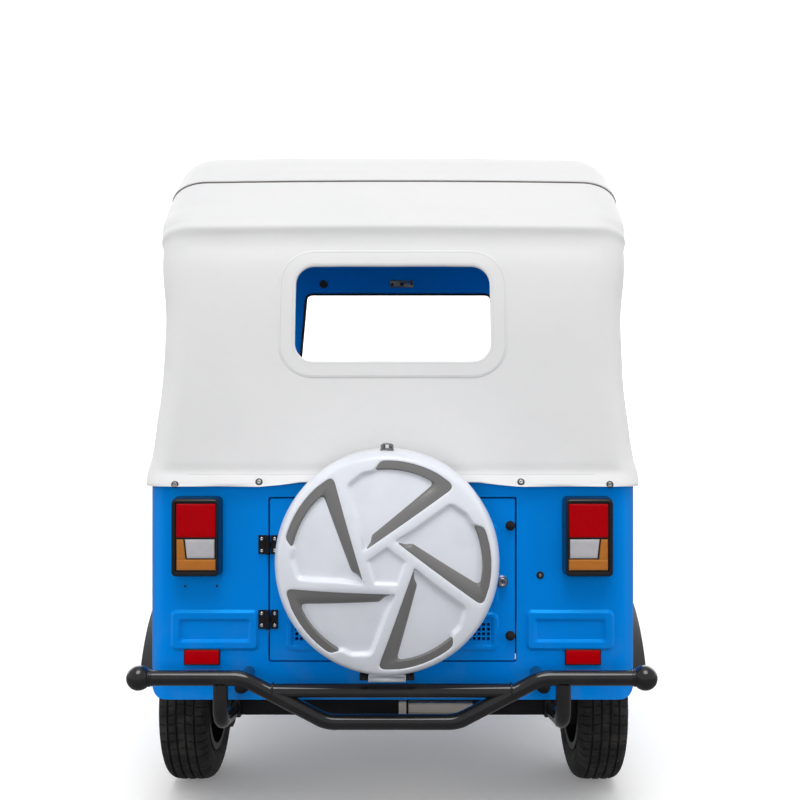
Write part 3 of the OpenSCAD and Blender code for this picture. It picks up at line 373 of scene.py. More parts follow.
def canvas_look(name, colour, dark):
    look = Look(name, colour, 0.5, Sheen_Weight=0.1, Sheen_Roughness=0.5, Specular_IOR_Level=0.45)
    look.clouds(2.2, 4, 0.4, 0.7, dark, 0.5)
    look.clouds(38, 5, 0.5, 0.75, dark, 0.25)
    weave = look.maths("ADD", look.waves("X", 1.6), look.waves("Z", 1.6))
    look.bump(weave, 0.12, 0.35)
    look.bump(look.noise(60, 3), 0.5, 0.25)
    look.vary_rough(look.noise(9, 3), 0.45, 0.6)
    return look.material


def plastic_look(name, colour, rough, grain=0.15, coat=0.0):
    look = Look(name, colour, rough, Coat_Weight=coat, Coat_Roughness=0.08)
    look.clouds(6, 4, 0.4, 0.75, scaled(colour, 0.82), 0.5)
    look.vary_rough(look.noise(18, 4), rough * 0.85, min(1, rough * 1.25))
    look.bump(look.noise(520, 2), grain, 0.3)
    return look.material


def metal_look(name, colour, rough, metallic=1.0, shade_inside=0.0):
    """Metal; the last argument is the distance from the middle plane, in metres, within which painted shade darkens it.
    """
    look = Look(name, colour, rough, metallic)
    look.clouds(11, 5, 0.45, 0.75, scaled(colour, 0.7), 0.5)
    # Painted shade: near black within that distance of the middle plane, where the wheels' inner sides lie under the
    # body
    if shade_inside:
        look.tint(look.ramp(look.maths("ABSOLUTE", look.coordinate("X"), 0), shade_inside + 0.012, shade_inside),
                  (0.02, 0.02, 0.022), 0.95)
    look.vary_rough(look.noise(40, 4), rough * 0.75, min(1, rough * 1.4))
    look.bump(look.noise(300, 2), 0.08, 0.3)
    return look.material


def black_paint_look(name, rough, coat):
    look = Look(name, (0.012, 0.012, 0.014), rough, Coat_Weight=coat, Coat_Roughness=0.06, Specular_IOR_Level=0.15)
    look.clouds(9, 5, 0.45, 0.8, (0.035, 0.034, 0.033), 0.5)
    look.vary_rough(look.noise(25, 4), rough * 0.7, min(1, rough * 1.5))
    look.bump(look.noise(180, 2), 0.15, 0.25 * (1 - 0.9 * coat))
    return look.material


def rubber_look(name, colour, dust):
    look = Look(name, colour, 0.82, Specular_IOR_Level=0.35)
    look.clouds(22, 6, 0.42, 0.72, dust, 0.45)
    look.vary_rough(look.noise(60, 3), 0.7, 0.95)
    look.bump(look.noise(700, 2), 0.12, 0.4)
    return look.material


def vinyl_look(name, colour):
    look = Look(name, colour, 0.5, Coat_Weight=0.15, Coat_Roughness=0.3)
    look.clouds(5, 4, 0.4, 0.7, scaled(colour, 1.7), 0.5)
    look.bump(look.cells(420), 0.35, 0.4)
    look.bump(look.noise(40, 3), 0.5, 0.2)
    look.vary_rough(look.noise(30, 3), 0.42, 0.62)
    return look.material


def lens_look(name, colour, gleam, painted_glow=0.0):
    look = Look(name, colour, 0.16, Coat_Weight=0.15, Coat_Roughness=0.03, Specular_Tint=(*gleam, 1.0))
    look.clouds(60, 2, 0.4, 0.7, scaled(colour, 0.7), 0.2)
    look.bump(look.cells(330), 0.5, 0.12)
    # A faint glow, painted light: it brightens the red lenses and the red reflectors, which take this look too
    look.set("Emission Color", (*colour, 1))
    look.set("Emission Strength", painted_glow)
    return look.material


def glass_look(name, colour, wobble):
    look = Look(name, colour, 0.015, Transmission_Weight=1.0, IOR=1.03)
    look.clouds(4, 2, 0.3, 0.8, scaled(colour, 0.985), 0.5)
    look.bump(look.noise(6, 2), wobble, 0.2)
    return look.material


BLUE = (0.0, 0.27, 0.93)
RIM_GREY = (0.42, 0.43, 0.45)
# Kind of look and its settings
LOOKS = {
    "body_blue": (paint_look, BLUE, (0.35, 0.34, 0.31)),
    "hood_canvas": (canvas_look, (0.83, 0.83, 0.835), (0.78, 0.785, 0.795)),
    "frame_steel": (black_paint_look, 0.55, 0.0),
    "black_plastic": (plastic_look, (0.018, 0.018, 0.02), 0.45),
    "window_glass": (glass_look, (0.97, 0.99, 0.99), 0.05),
    "window_film": (glass_look, (0.99, 0.995, 1.0), 0.12),
    "black_paint": (black_paint_look, 0.42, 0.2),
    "lamp_black": (plastic_look, (0.012, 0.012, 0.014), 0.2, 0.04),
    "black_gloss": (black_paint_look, 0.22, 1.0),
    "seat_vinyl": (vinyl_look, (0.022, 0.022, 0.026)),
    # The red lenses' faint glow is painted light; the reflectors take it too
    "red_lens": (lens_look, (0.5, 0.0, 0.004), (1.0, 0.06, 0.08), 0.08),
    "amber_lens": (lens_look, (0.56, 0.195, 0.035), (1.0, 0.6, 0.3)),
    "clear_lens": (lens_look, (0.58, 0.57, 0.6), (1.0, 1.0, 1.0)),
    "engine_alloy": (metal_look, (0.62, 0.6, 0.56), 0.42),
    "exhaust_steel": (metal_look, (0.22, 0.2, 0.18), 0.5),
    "bright_trim": (metal_look, (0.85, 0.85, 0.87), 0.12),
    "grip_rubber": (rubber_look, (0.016, 0.016, 0.017), (0.04, 0.04, 0.04)),
    "tyre_rubber": (rubber_look, (0.02, 0.02, 0.021), (0.075, 0.07, 0.064)),
    "rim_steel": (metal_look, RIM_GREY, 0.4, 0.6),
    # The rear rims' inner sides carry painted shade
    "rear_rim_steel": (metal_look, RIM_GREY, 0.4, 0.6, 0.575),
    "clip_steel": (metal_look, (0.42, 0.42, 0.44), 0.4),
    "casing_alloy": (metal_look, (0.6, 0.55, 0.5), 0.5, 0.3),
    "cover_white": (plastic_look, (0.84, 0.87, 0.945), 0.3, 0.08, 0.3),
    "seat_piping": (plastic_look, (0.03, 0.03, 0.034), 0.4),
    "thread": (canvas_look, (0.66, 0.66, 0.67), (0.58, 0.58, 0.59)),
    "snap_metal": (metal_look, (0.72, 0.72, 0.73), 0.35),
    "blade_grey": (plastic_look, (0.19, 0.185, 0.185), 0.32, 0.08, 0.3),
    # Dark strip under the roof sheet's edge: painted shadow
    "seam_tape": (plastic_look, (0.19, 0.15, 0.14), 0.6),
}
looks = {name: kind(name, *settings) for name, (kind, *settings) in LOOKS.items()}
slot_of = {part["node"]: part["material_slot"] for part in frame["record"]["subparts"]}

for name, node in frame["nodes"].items():
    node.data.materials.clear()
    node.data.materials.append(looks[slot_of[name]])
    shade(node)
    node.modifiers.new("weld", "WELD").merge_threshold = MERGE
# The rear rims take the look with painted shade on their inner sides
for name in ("rear_left_rim", "rear_right_rim"):
    frame["nodes"][name].data.materials[0] = looks["rear_rim_steel"]

# Edges of the pressed, moulded and welded pieces, in millimetres
EDGE_ROUND = {
    "tail_panel": 2.0, "engine_lid": 1.5, "side_panel_left": 3.0, "side_panel_right": 3.0, "seat_box": 2.0,
    "windscreen_frame": 5.0, "driver_seat_base": 8.0, "arch_flares": 2.0, "hinge_leaves": 0.6, "lid_hardware": 0.8,
    "engine": 6.0, "floor_pan": 2.0, "mirrors": 4.0, "front_fork": 2.0, "trailing_arms": 3.0, "chassis_frame": 2.0,
}
for name, node in frame["nodes"].items():
    if name in EDGE_ROUND:
        round_edges(node, EDGE_ROUND[name])
        node.modifiers.new("flat_faces", "WEIGHTED_NORMAL")
    else:
        node.modifiers.new("edges", "EDGE_SPLIT").split_angle = math.radians(SHARP)


# Canvas hood

HEM_Z = 886
# Rows from the hem over the roof to the windscreen:
# y and z of the middle line, corner radius, y and z of the side edge
HOOD_ROWS = [
    (-14, HEM_Z, 58, 800, HEM_Z), (2, 960, 66, 772, 960), (28, 1150, 80, 742, 1090), (66, 1380, 88, 716, 1220),
    (120, 1566, 92, 704, 1340), (180, 1640, 96, 712, 1420), (250, 1714, 104, 744, 1480),
    (350, 1800, 112, 830, 1512), (560, 1824, 120, 950, 1526), (1000, 1818, 120, 1160, 1540),
    (1400, 1788, 116, 1450, 1552), (1800, 1726, 100, 1800, 1566),
]
HEM_ROW = 0.25
RIDGE_ROW = 4
SEAM_ROW = 6
# Height and half width
HOOD_SIDES = [
    (HEM_Z, 630), (910, 629.5), (930, 627), (951, 622), (1003, 617), (1055, 613), (1108, 608), (1161, 605), (1268, 604),
    (1322, 604.5), (1377, 609.5), (1433, 618), (1478, 623), (1535, 626), (1600, 636), (1680, 630), (1730, 624),
    (1830, 620),
]
HOOD_CROWN = 10
# The cloth's outside over the plain form, and its thickness
CANVAS = 6
CLOTH_T = 2.4


def spline(rows, t):
    n = len(rows) - 1
    i = min(n - 1, int(t))
    f = t - i
    p0, p1, p2, p3 = (rows[min(n, max(0, k))] for k in (i - 1, i, i + 1, i + 2))
    return [0.5 * (2 * b + (c - a) * f + (2 * a - 5 * b + 4 * c - d) * f * f + (3 * b - 3 * c + d - a) * f ** 3)
            for a, b, c, d in zip(p0, p1, p2, p3)]


def hood_half_w(z):
    i = 0
    while i < len(HOOD_SIDES) - 2 and z > HOOD_SIDES[i + 1][0]:
        i += 1
    z0, z1 = HOOD_SIDES[i][0], HOOD_SIDES[i + 1][0]
    return spline(HOOD_SIDES, i + min(1, max(0, (z - z0) / (z1 - z0))))[1]


def hood_base(t, u):
    """Point of the hood in millimetres; u is signed, 0 on the middle line, 1 to 2 round the corner, 3 at the edge."""
    y, z, r, qy, qz = spline(HOOD_ROWS, t)
    v = abs(u)
    p, q = Vector((y, z)), Vector((qy, qz))
    e = (q - p).normalized()
    a = math.radians(90 * min(1, max(0, v - 1)))
    yz = p + e * (r * (1 - math.cos(a))) if v <= 2 else p + e * r + (q - p - e * r) * (v - 2)
    w = hood_half_w(yz[1])
    flat = w - r
    x = flat * v if v <= 1 else flat + r * math.sin(a)
    yz = yz + e * (HOOD_CROWN * (x / w) ** 2)
    return Vector((math.copysign(x, u), yz[0], yz[1]))


SNAP_X = (-550, -337, 325, 550)
SNAP_Z = 898
# How far from a snap the hem is drawn down, and how far it rises between snaps, in the middle and beside it
SNAP_REACH = 110
HEM_RISE, HEM_RISE_BESIDE, HEM_MIDDLE_X = 7, 1, 330
FOLD_PITCH = 210


def hood_relief(t, u, p):
    """How far the cloth stands off its plain form."""
    out = 0.0
    # Broad and narrow folds of the rear curtain
    rear = 1 - smooth_step(3.6, 4.2, t)
    out += rear * 2.2 * noise.noise(Vector((p.x * 0.009, p.z * 0.0016, 3.1)))
    out += rear * 1.0 * noise.noise(Vector((p.x * 0.021, p.z * 0.004, 7.7)))
    # Pull of the snaps, and the doubled hem
    low = 1 - smooth_step(896, 1000, p.z)
    if abs(u) < 2 and t < 2:
        out += low * 2.0 * math.cos(p.x * 2 * math.pi / FOLD_PITCH) * smooth_step(0, 0.15, t)
        hem = 1 - smooth_step(0.9, 1.7, abs(u))
        out += hem * (8.0 * (1 - smooth_step(HEM_Z, 924, p.z)) - 3.0 * math.exp(-((p.z - 928) / 12) ** 2))
    # Rolled ridge with a hollow under it
    straight = 1 - smooth_step(0.8, 1.6, abs(u))
    out += (4.0 + 4.0 * straight) * math.exp(-((t - RIDGE_ROW) / 0.1) ** 2)
    out -= 6.0 * straight * math.exp(-((t - RIDGE_ROW + 0.3) / 0.2) ** 2)
    # Sag between the hoops, and folds of roof and sides
    roof = smooth_step(SEAM_ROW, SEAM_ROW + 1, t)
    out -= roof * 5.0 * math.sin(math.pi * min(1, max(0, (t - 7.6) / 3.3))) * (1 - min(1, abs(u)) ** 2)
    out += roof * 1.6 * noise.noise(Vector((p.x * 0.004, p.y * 0.006, 1.3)))
    sides = smooth_step(2.0, 2.3, abs(u))
    out += sides * 2.5 * noise.noise(Vector((p.y * 0.006, p.z * 0.003, 5.5)))
    return out


def hem_free(x):
    """0 at a snap and 1 away from all of them: the hem hangs lower at the snaps than between them."""
    return min(min(abs(x - s) for s in SNAP_X) / SNAP_REACH, 1.0)


def stations(cuts):
    """Values that run through (start, end, steps) stretches."""
    out = []
    for a, b, n in cuts:
        out += [lerp(a, b, i / n) for i in range(n)]
    out.append(cuts[-1][1])
    return out


HOOD_T = stations([(0, HEM_ROW, 8), (HEM_ROW, 3.6, 46), (3.6, 4.4, 20), (4.4, 7, 34), (7, 11, 56)])
HOOD_HALF = stations([(3, 2, 24), (2, 1, 16), (1, 0, 34)])
HOOD_U = [-u for u in HOOD_HALF] + list(reversed(HOOD_HALF))[1:]


def hood_rows():
    rows = []
    for t in HOOD_T:
        row = []
        for u in HOOD_U:
            p = hood_base(t, u)
            if t < HEM_ROW and abs(u) < 2:
                rise = HEM_RISE if abs(p.x) < HEM_MIDDLE_X else HEM_RISE_BESIDE
                p.z += (1 - t / HEM_ROW) * rise * hem_free(p.x)
            row.append(p)
        rows.append(row)
    return rows


def grid_normals(rows):
    out = []
    last, end = len(rows) - 1, len(rows[0]) - 1
    for i, row in enumerate(rows):
        line = []
        for j in range(len(row)):
            across = row[min(end, j + 1)] - row[max(0, j - 1)]
            along = rows[min(last, i + 1)][j] - rows[max(0, i - 1)][j]
            line.append(across.cross(along).normalized())
        out.append(line)
    return out


def apply_modifiers(piece):
    graph = bpy.context.evaluated_depsgraph_get()
    done = bpy.data.meshes.new_from_object(piece.evaluated_get(graph))
    piece.modifiers.clear()
    old = piece.data
    piece.data = done
    bpy.data.meshes.remove(old)


WINDOW_W, WINDOW_H, WINDOW_R, WINDOW_Z = 510, 255, 50, 1333
base_rows = hood_rows()
normals = grid_normals(base_rows)
outer = []
inner = []
for t, row, line in zip(HOOD_T, base_rows, normals):
    lift = [hood_relief(t, u, p) for u, p in zip(HOOD_U, row)]
    outer.append([p + n * (CANVAS + d) for p, n, d in zip(row, line, lift)])
    inner.append([p + n * (CANVAS - CLOTH_T + d) for p, n, d in zip(row, line, lift)])


def to_scene(rows):
    return [[spot(*p) for p in row] for row in rows]


def grid_rim(n, count):
    """Indices round the edge of a grid of rows of n points."""
    there = list(range(n)) + [i * n + n - 1 for i in range(1, count)]
    return there + [(count - 1) * n + j for j in range(n - 2, -1, -1)] + [i * n for i in range(count - 2, 0, -1)]


def closed_sheet(shape, top, under):
    """Two skins of equal rows joined round their edges."""
    a = shape.grid(top)
    first = len(shape.faces)
    b = shape.grid(under)
    shape.faces[first:] = [tuple(reversed(f)) for f in shape.faces[first:]]
    rim = grid_rim(len(top[0]), len(top))
    for k, m in zip(rim, rim[1:] + rim[:1]):
        shape.faces.append((a + m, a + k, b + k, b + m))


hood_shape = Shape()
closed_sheet(hood_shape, to_scene(outer), to_scene(inner))
hood = hood_shape.make("hood_canvas_sheet", "hood_canvas", replaces=("hood_canopy",))

# Rear window's opening, cut from outside the curtain to inside it
CUT_Y = (-80, 240)
cutter_shape = Shape()
loop = round_rect(WINDOW_W, WINDOW_H, WINDOW_R)
cutter_shape.closed_rings([[spot(x, y, WINDOW_Z + z) for x, z, _, _ in loop] for y in CUT_Y])
cutter = new_object("window_cutter", cutter_shape.points, cutter_shape.faces)
cut = hood.modifiers.new("window", "BOOLEAN")
cut.object = cutter
cut.operation = "DIFFERENCE"
cut.solver = "EXACT"
apply_modifiers(hood)
bpy.data.objects.remove(cutter)
shade(hood)
keep_edges(hood, 50)


def cloth_at(t, u, du):
    """Point of the plain hood, its outward direction, and how far out the cloth's outside is."""
    p = hood_base(t, u)
    along = hood_base(t + 0.02, u) - hood_base(max(0, t - 0.02), u)
    across = hood_base(t, u + du) - hood_base(t, u - du)
    return p, across.cross(along).normalized(), CANVAS + hood_relief(t, u, p)


def flat_half(t):
    """Half width of a row's flat middle, between its round corners."""
    _, z, r, _, _ = spline(HOOD_ROWS, t)
    return hood_half_w(z) - r


def curtain(x, z):
    """Point and outward direction of the rear curtain's outside at a place in the rear view."""
    low, high = 0.0, 5.0
    for _ in range(30):
        mid = (low + high) / 2
        if hood_base(mid, x / flat_half(mid)).z < z:
            low = mid
        else:
            high = mid
    t = (low + high) / 2
    p, out, lift = cloth_at(t, x / flat_half(t), 0.02)
    return p + out * lift, out


def curtain_spot(x, z, rise):
    p, out = curtain(x, z)
    return spot(*(p + out * rise))


# Sewn band round the rear window: distance out from the opening's edge, and rise over the cloth
BAND_PROFILE = ((-1.5, -7), (-2, 0.8), (-0.5, 1.9), (5, 2.0), (20, 1.6), (36, 1.8), (40.5, 1.5), (42, 0.4), (42, -1))
BAND_STEP = 18
BAND_SEAMS = (5, 36)
HEM_SEAM_Z = 918
# Half width of the curtain's flat part at the hem
CURTAIN_X = 520
band_loop = round_rect(WINDOW_W, WINDOW_H, WINDOW_R, 14)
edge_loop = []
for i in range(len(band_loop)):
    a, b = band_loop[i], band_loop[(i + 1) % len(band_loop)]
    steps = max(1, round(math.hypot(b[0] - a[0], b[1] - a[1]) / BAND_STEP))
    edge_loop += [tuple(lerp(p, q, k / steps) for p, q in zip(a, b)) for k in range(steps)]


def band_row(w, rise):
    return [curtain_spot(x + w * nx, WINDOW_Z + z + w * nz, rise) for x, z, nx, nz in edge_loop]


band = Shape()
band.grid([band_row(w, rise) for w, rise in BAND_PROFILE], ring=True)
band_piece = band.make("window_band", "hood_canvas")

thread = Shape()


def rear_normal(p):
    return curtain(p.x / MM, p.z / MM)[1]


for w in BAND_SEAMS:
    row = band_row(w, 1.9)
    thread.stitches(row + row[:1], rear_normal)
hem_line = [curtain_spot(x, HEM_SEAM_Z, 0.2) for x in range(-CURTAIN_X, CURTAIN_X + 1, 20)]
thread.stitches(hem_line, rear_normal)
thread_piece = thread.make("hood_stitches", "thread", slot="hood_canvas")

# Roof sheet's folded edge over the rear piece, with a dark strip under it that paints in the shadow under the edge:
# rows ahead of the seam, rise over the cloth
ROOF_EDGE = ((0.0, 1.0), (-0.015, 2.4), (0.0, 4.6), (0.08, 4.4), (0.3, 3.4), (0.9, 0.3))
SEAM_SHADE_STRIP = ((-0.04, 0.2), (-0.036, 1.0), (0.0, 1.2), (0.05, 1.0))
SEAM_U = [u for u in HOOD_U if abs(u) <= 2.5]


def hood_spot(t, u, rise):
    p, out, lift = cloth_at(t, u, 0.01)
    return spot(*(p + out * (lift + rise)))


def seam_strip(name, look, profile):
    strip = Shape()
    strip.grid([[hood_spot(SEAM_ROW + dt, u, rise) for u in SEAM_U] for dt, rise in profile])
    return strip.make(name, look, slot="hood_canvas")


roof_edge_piece = seam_strip("roof_edge", "hood_canvas", ROOF_EDGE)
shade_strip_piece = seam_strip("seam_tape", "seam_tape", SEAM_SHADE_STRIP)

# Snap studs along the hem: dark rings with bright caps
SNAP_RING = ((7.0, -1), (9, -1), (9, 1.6), (8.4, 2.6), (7.2, 2.8), (6.6, 2.2), (6.6, 0))
SNAP_CAP = ((0, 1.6), (1.6, 1.7), (2.2, 3.0), (3.4, 3.4), (5.2, 3.2), (6.3, 2.0), (6.4, -1))
snap_rings = Shape()
snaps = Shape()
for x in SNAP_X:
    p, out = curtain(max(-CURTAIN_X, min(CURTAIN_X, x)), SNAP_Z)
    if abs(x) > CURTAIN_X:
        p = hood_base(0.2, 1) - Vector((0, CANVAS + 8, 0))
        p.x = x
        out = Vector((0, -1, 0))
    snap_rings.lathe(spot(*p), out, SNAP_RING, 24)
    snaps.lathe(spot(*p), out, SNAP_CAP, 20)
ring_piece = snap_rings.make("hood_snap_rings", "black_plastic")
snap_piece = snaps.make("hood_snaps", "snap_metal", slot="bright_trim")


# Spare wheel's cover

SPARE_X, SPARE_Z = -11, 717
COVER_R = 272
APEX, DOME_DROP, DOME_FLAT, RING_R = 226, 38, 40, 250
RIB_H, RIB_IN, RIB_OUT = 12, 41.5, 60
BLADES, BLADE_TURN = 5, 34.5
POCKET_R, SHELF_R, CORNER_R = 249, 231, 216


def dome(x, z):
    """Height of the cover's ribs over the tail panel's face, at a place from the cover's middle."""
    return APEX - DOME_DROP * (max(0, math.hypot(x, z) - DOME_FLAT) / (RING_R - DOME_FLAT)) ** 2


def polar(r, degrees):
    return Vector((r * math.cos(math.radians(degrees)), r * math.sin(math.radians(degrees))))


def arc(r, a0, a1, n):
    return [polar(r, lerp(a0, a1, i / n)) for i in range(n + 1)]


def on_cover(x, z, h):
    return spot(SPARE_X + x, -h, SPARE_Z + z)


def fillet(points, radius, n=6, closed=True, first=None):
    """Rounds the corners of an outline; first is the radius at its first point, if that differs."""
    out = []
    count = len(points)
    for i, p in enumerate(points):
        if not closed and i in (0, count - 1):
            out.append(p)
            continue
        a, b = points[i - 1] - p, points[(i + 1) % count] - p
        turn = math.pi - a.angle(b)
        reach = min((radius if i or first is None else first) * math.tan(turn / 2), 0.45 * a.length, 0.45 * b.length)
        if turn < 0.2:
            out.append(p)
            continue
        q0, q1 = p + a.normalized() * reach, p + b.normalized() * reach
        for k in range(n + 1):
            f = k / n
            out.append(q0 * (1 - f) ** 2 + p * (2 * f * (1 - f)) + q1 * f * f)
    return out


def densify(points, step):
    """Points about a step apart round an outline."""
    out = []
    for a, b in zip(points, points[1:] + points[:1]):
        n = max(1, round((b - a).length / step))
        out += [a.lerp(b, k / n) for k in range(n)]
    return out


def inset(loop, d, share):
    """Moves a counter-clockwise loop inward, each point by its share of the distance."""
    out = []
    for i, p in enumerate(loop):
        a, b = (p - loop[i - 1]).normalized(), (loop[(i + 1) % len(loop)] - p).normalized()
        along = (a + b).normalized()
        out.append(p + Vector((-along.y, along.x)) * (d * share[i] / max(0.5, along.dot(a))))
    return out


def inside(p, loop):
    hit = False
    for i, b in enumerate(loop):
        a = loop[i - 1]
        if (a.y > p.y) != (b.y > p.y) and p.x < a.x + (p.y - a.y) * (b.x - a.x) / (b.y - a.y):
            hit = not hit
    return hit


def turned(points, degrees):
    spin = Matrix.Rotation(math.radians(degrees), 2)
    return [spin @ p for p in points]


def mesh_points(reach, step):
    """Staggered points that fill a square about the middle."""
    n = int(reach / step)
    return [Vector((i * step + (step / 2 if j % 2 else 0), j * step * 0.87))
            for j in range(-n - 2, n + 3) for i in range(-n, n + 1)]


def fill_region(shape, loops, keep, height, step):
    """Triangles over a region bounded by loops; keep tells whether a place is in it."""
    points, edges = [], []
    for loop in loops:
        first = len(points)
        points += loop
        edges += [(first + i, first + (i + 1) % len(loop)) for i in range(len(loop))]
    rim = points[:]
    reach = max(p.length for p in rim)
    for p in mesh_points(reach, step):
        if keep(p) and min((p - q).length_squared for q in rim) > (0.6 * step) ** 2:
            points.append(p)
    found = geometry.delaunay_2d_cdt(points, edges, [], 0, 1e-4)
    base = len(shape.points)
    shape.points += [on_cover(p.x, p.y, height(p)) for p in found[0]]
    for f in found[2]:
        middle = sum((found[0][i] for i in f), Vector((0, 0))) / len(f)
        if keep(middle):
            shape.faces.append(tuple(base + i for i in f))


step_angle = 360 / BLADES
turn_sin, turn_cos = math.sin(math.radians(step_angle)), math.cos(math.radians(step_angle))
pocket = [Vector(((RIB_OUT * turn_cos - RIB_IN) / turn_sin, RIB_OUT))]
pocket += [polar(POCKET_R, math.degrees(math.asin(RIB_OUT / POCKET_R)))] + arc(POCKET_R, 26, 58.8, 7)
pocket += arc(SHELF_R, 63.7, 70.4, 2) + [polar(CORNER_R, 83.1)]
tip = pocket[0]
pocket = densify(fillet(pocket, 24, first=6), 5)


def wall_share(p):
    """The walls are steep beside the grey inserts and wide elsewhere."""
    angle = math.degrees(math.atan2(p.y, p.x))
    if p.y < RIB_OUT + 1 or (p.length > SHELF_R + 2 and angle < 56):
        return 0.35
    beside = smooth_step(56, 66, angle) if p.length > SHELF_R - 8 else 1.0
    return lerp(0.35, 1.0, min(beside, smooth_step(4, 60, (p - tip).length)))


pocket_share = [wall_share(p) for p in pocket]
middle_pocket = densify(fillet([polar(RIB_IN / math.cos(math.radians(step_angle / 2)), 90 + step_angle * (k + 0.5))
                                for k in range(BLADES)], 10), 4)
# Pressed walls: how far in from the outline, and how deep
WALL = ((0, 0), (1.5, 0.35), (4, 2.0), (7, 5.6), (10, 9.4), (12.5, 11.4), (15, RIB_H))
MIDDLE_WALL = ((0, 0), (1.5, 0.5), (4, 3.0), (6.5, 5.6), (9, 7))
pockets = [(turned(pocket, BLADE_TURN + k * step_angle), WALL, pocket_share) for k in range(BLADES)]
pockets.append((turned(middle_pocket, BLADE_TURN), MIDDLE_WALL, [1.0] * len(middle_pocket)))

cover = Shape()
FACE_R, RIM_STEPS = 252, 200
face_rim = arc(FACE_R, 0, 360, RIM_STEPS)[:-1]
fill_region(cover, [face_rim] + [loop for loop, _, _ in pockets],
            lambda p: p.length < FACE_R and not any(inside(p, loop) for loop, _, _ in pockets),
            lambda p: dome(p.x, p.y), 9)
for loop, wall, share in pockets:
    rows = [inset(loop, d, share) for d, _ in wall]
    cover.grid([[on_cover(p.x, p.y, dome(p.x, p.y) - deep) for p in row] for row, (_, deep) in zip(rows, wall)],
               ring=True)
    floor_loop, floor_deep = rows[-1], wall[-1][1]
    fill_region(cover, [floor_loop], lambda p: inside(p, floor_loop),
                lambda p: dome(p.x, p.y) - floor_deep, 10)
# Round of the rim and the turned-in back edge: radius, height
RIM_PROFILE = ((FACE_R, dome(FACE_R, 0)), (255, 185.5), (258.5, 181.8), (262, 176), (265.5, 167.5), (268.5, 156),
               (270.5, 143), (271.6, 128), (COVER_R, 112), (COVER_R, 50), (270.6, 48), (262, 48), (261, 49.5),
               (261, 130))
cover.grid([[on_cover(p.x, p.y, h) for p in arc(r, 0, 360, RIM_STEPS)[:-1]] for r, h in RIM_PROFILE], ring=True)
cover.make("cover_shell", "cover_white", "engine_lid", replaces=("spare_cover",), tidy=True)

# Grey inserts: a straight leg beside each rib and an arc leg round the rim
leg_out = fillet([Vector((-17, RIB_OUT + 0.4)), polar(POCKET_R - 0.4, 14.05)] +
                 arc(POCKET_R - 0.4, 26, 58.7, 8), 24, 8, False)
leg_in = fillet([Vector((-12.5, 63.5)), Vector((3, 70)), Vector((14.6, 81.3)), polar(226, 25.3)] +
                arc(226, 35, 62.9, 8), 14, 6, False)


def even(points, n):
    """n + 1 points evenly along a polyline."""
    solid = [Vector((p.x, p.y, 0)) for p in points]
    length = sum((b - a).length for a, b in zip(solid, solid[1:]))
    marks = resample(solid, length / n * 0.99999)
    return [p.xy for p in marks[:n]] + [points[-1]]


def split_at_corner(points):
    """A V-shaped outline's leg, corner and arc, each with its own count of points."""
    far = max(range(len(points)), key=lambda i: points[i].x - points[i].y)
    return even(points[:far + 1], 60)[:-1] + even(points[far:], 60)


def insert_row(a, b, hollow, drop):
    """Points and depths across an insert, from its outer edge a to its inner edge b."""
    wide = (b - a).length
    wall = min(6.0, wide * 0.34)
    cuts = ((0, RIB_H), (0, 3.2), (min(0.8, 0.1 * wide), 2.4), (min(2, 0.2 * wide), 2.2),
            ((wide - wall) * 0.5, 2.2 + hollow), (wide - wall - 0.8, 2.4 + drop), (wide - wall, 3.0 + drop),
            (wide - wall * 0.75, 5.2 + drop * 0.8), (wide - wall * 0.3, 10.0), (wide, RIB_H + 0.4))
    return [(a.lerp(b, across / wide), deep) for across, deep in cuts]


blades = Shape()
outer_edge, inner_edge = split_at_corner(leg_out), split_at_corner(leg_in)
for k in range(BLADES):
    spin = Matrix.Rotation(math.radians(BLADE_TURN + k * step_angle), 2)
    rows = []
    for i, (a, b) in enumerate(zip(outer_edge, inner_edge)):
        leg = 1 - smooth_step(0.46, 0.54, i / (len(outer_edge) - 1))
        rows.append([on_cover(*(spin @ p), dome(p.x, p.y) - deep)
                     for p, deep in insert_row(a, b, 1.2 * leg, 3.2 * leg + 0.6)])
    base = blades.grid([list(reversed(row)) for row in rows])
    width = len(rows[0])
    blades.cap(base, width)
    blades.cap(base + (len(rows) - 1) * width, width, flip=True)
blades.make("cover_inserts", "blade_grey", "engine_lid", replaces=("cover_blades",), tidy=True, sharp=40)


def rounded_block(shape, low, high, r, place=spot, least=0.4):
    """Box with chamfered edges between two corners; least is the smallest corner radius."""
    (x0, y0, z0), (x1, y1, z1) = low, high
    shape.closed_rings(rect_rows((x1 - x0, z1 - z0), ((-r, y1), (0, y1 - r), (0, y0 + r), (-r, y0)),
                                 lambda grow: max(least, r + grow), 3,
                                 lambda x, z, y: place((x0 + x1) / 2 + x, y, (z0 + z1) / 2 + z)))


# Clip on the cover's top edge, and the blank plate with its holders under the bottom edge: corners from the edge
CLIP_BLOCKS = (((-16, -150, -5), (16, -112, 3)), ((-13, -146, 3), (-4, -120, 11)), ((4, -146, 3), (13, -120, 11)))
CLIP_BAIL = ((-14, 4), (-13, 10), (-8, 13), (0, 14), (8, 13), (13, 10), (14, 4))
CLIP_Y = -134
TAB_HALF, HOLDER_X = 45, (45.5, 66)
top_z, low_z = SPARE_Z + COVER_R, SPARE_Z - COVER_R
clip, plate, holders = Shape(), Shape(), Shape()
for (x0, y0, z0), (x1, y1, z1) in CLIP_BLOCKS:
    rounded_block(clip, (SPARE_X + x0, y0, top_z + z0), (SPARE_X + x1, y1, top_z + z1), 2)
clip.tube([spot(SPARE_X + x, CLIP_Y, top_z + z) for x, z in CLIP_BAIL], 2.2 * MM, 10)
clip.make("cover_clip", "clip_steel", "engine_lid", "bright_trim")
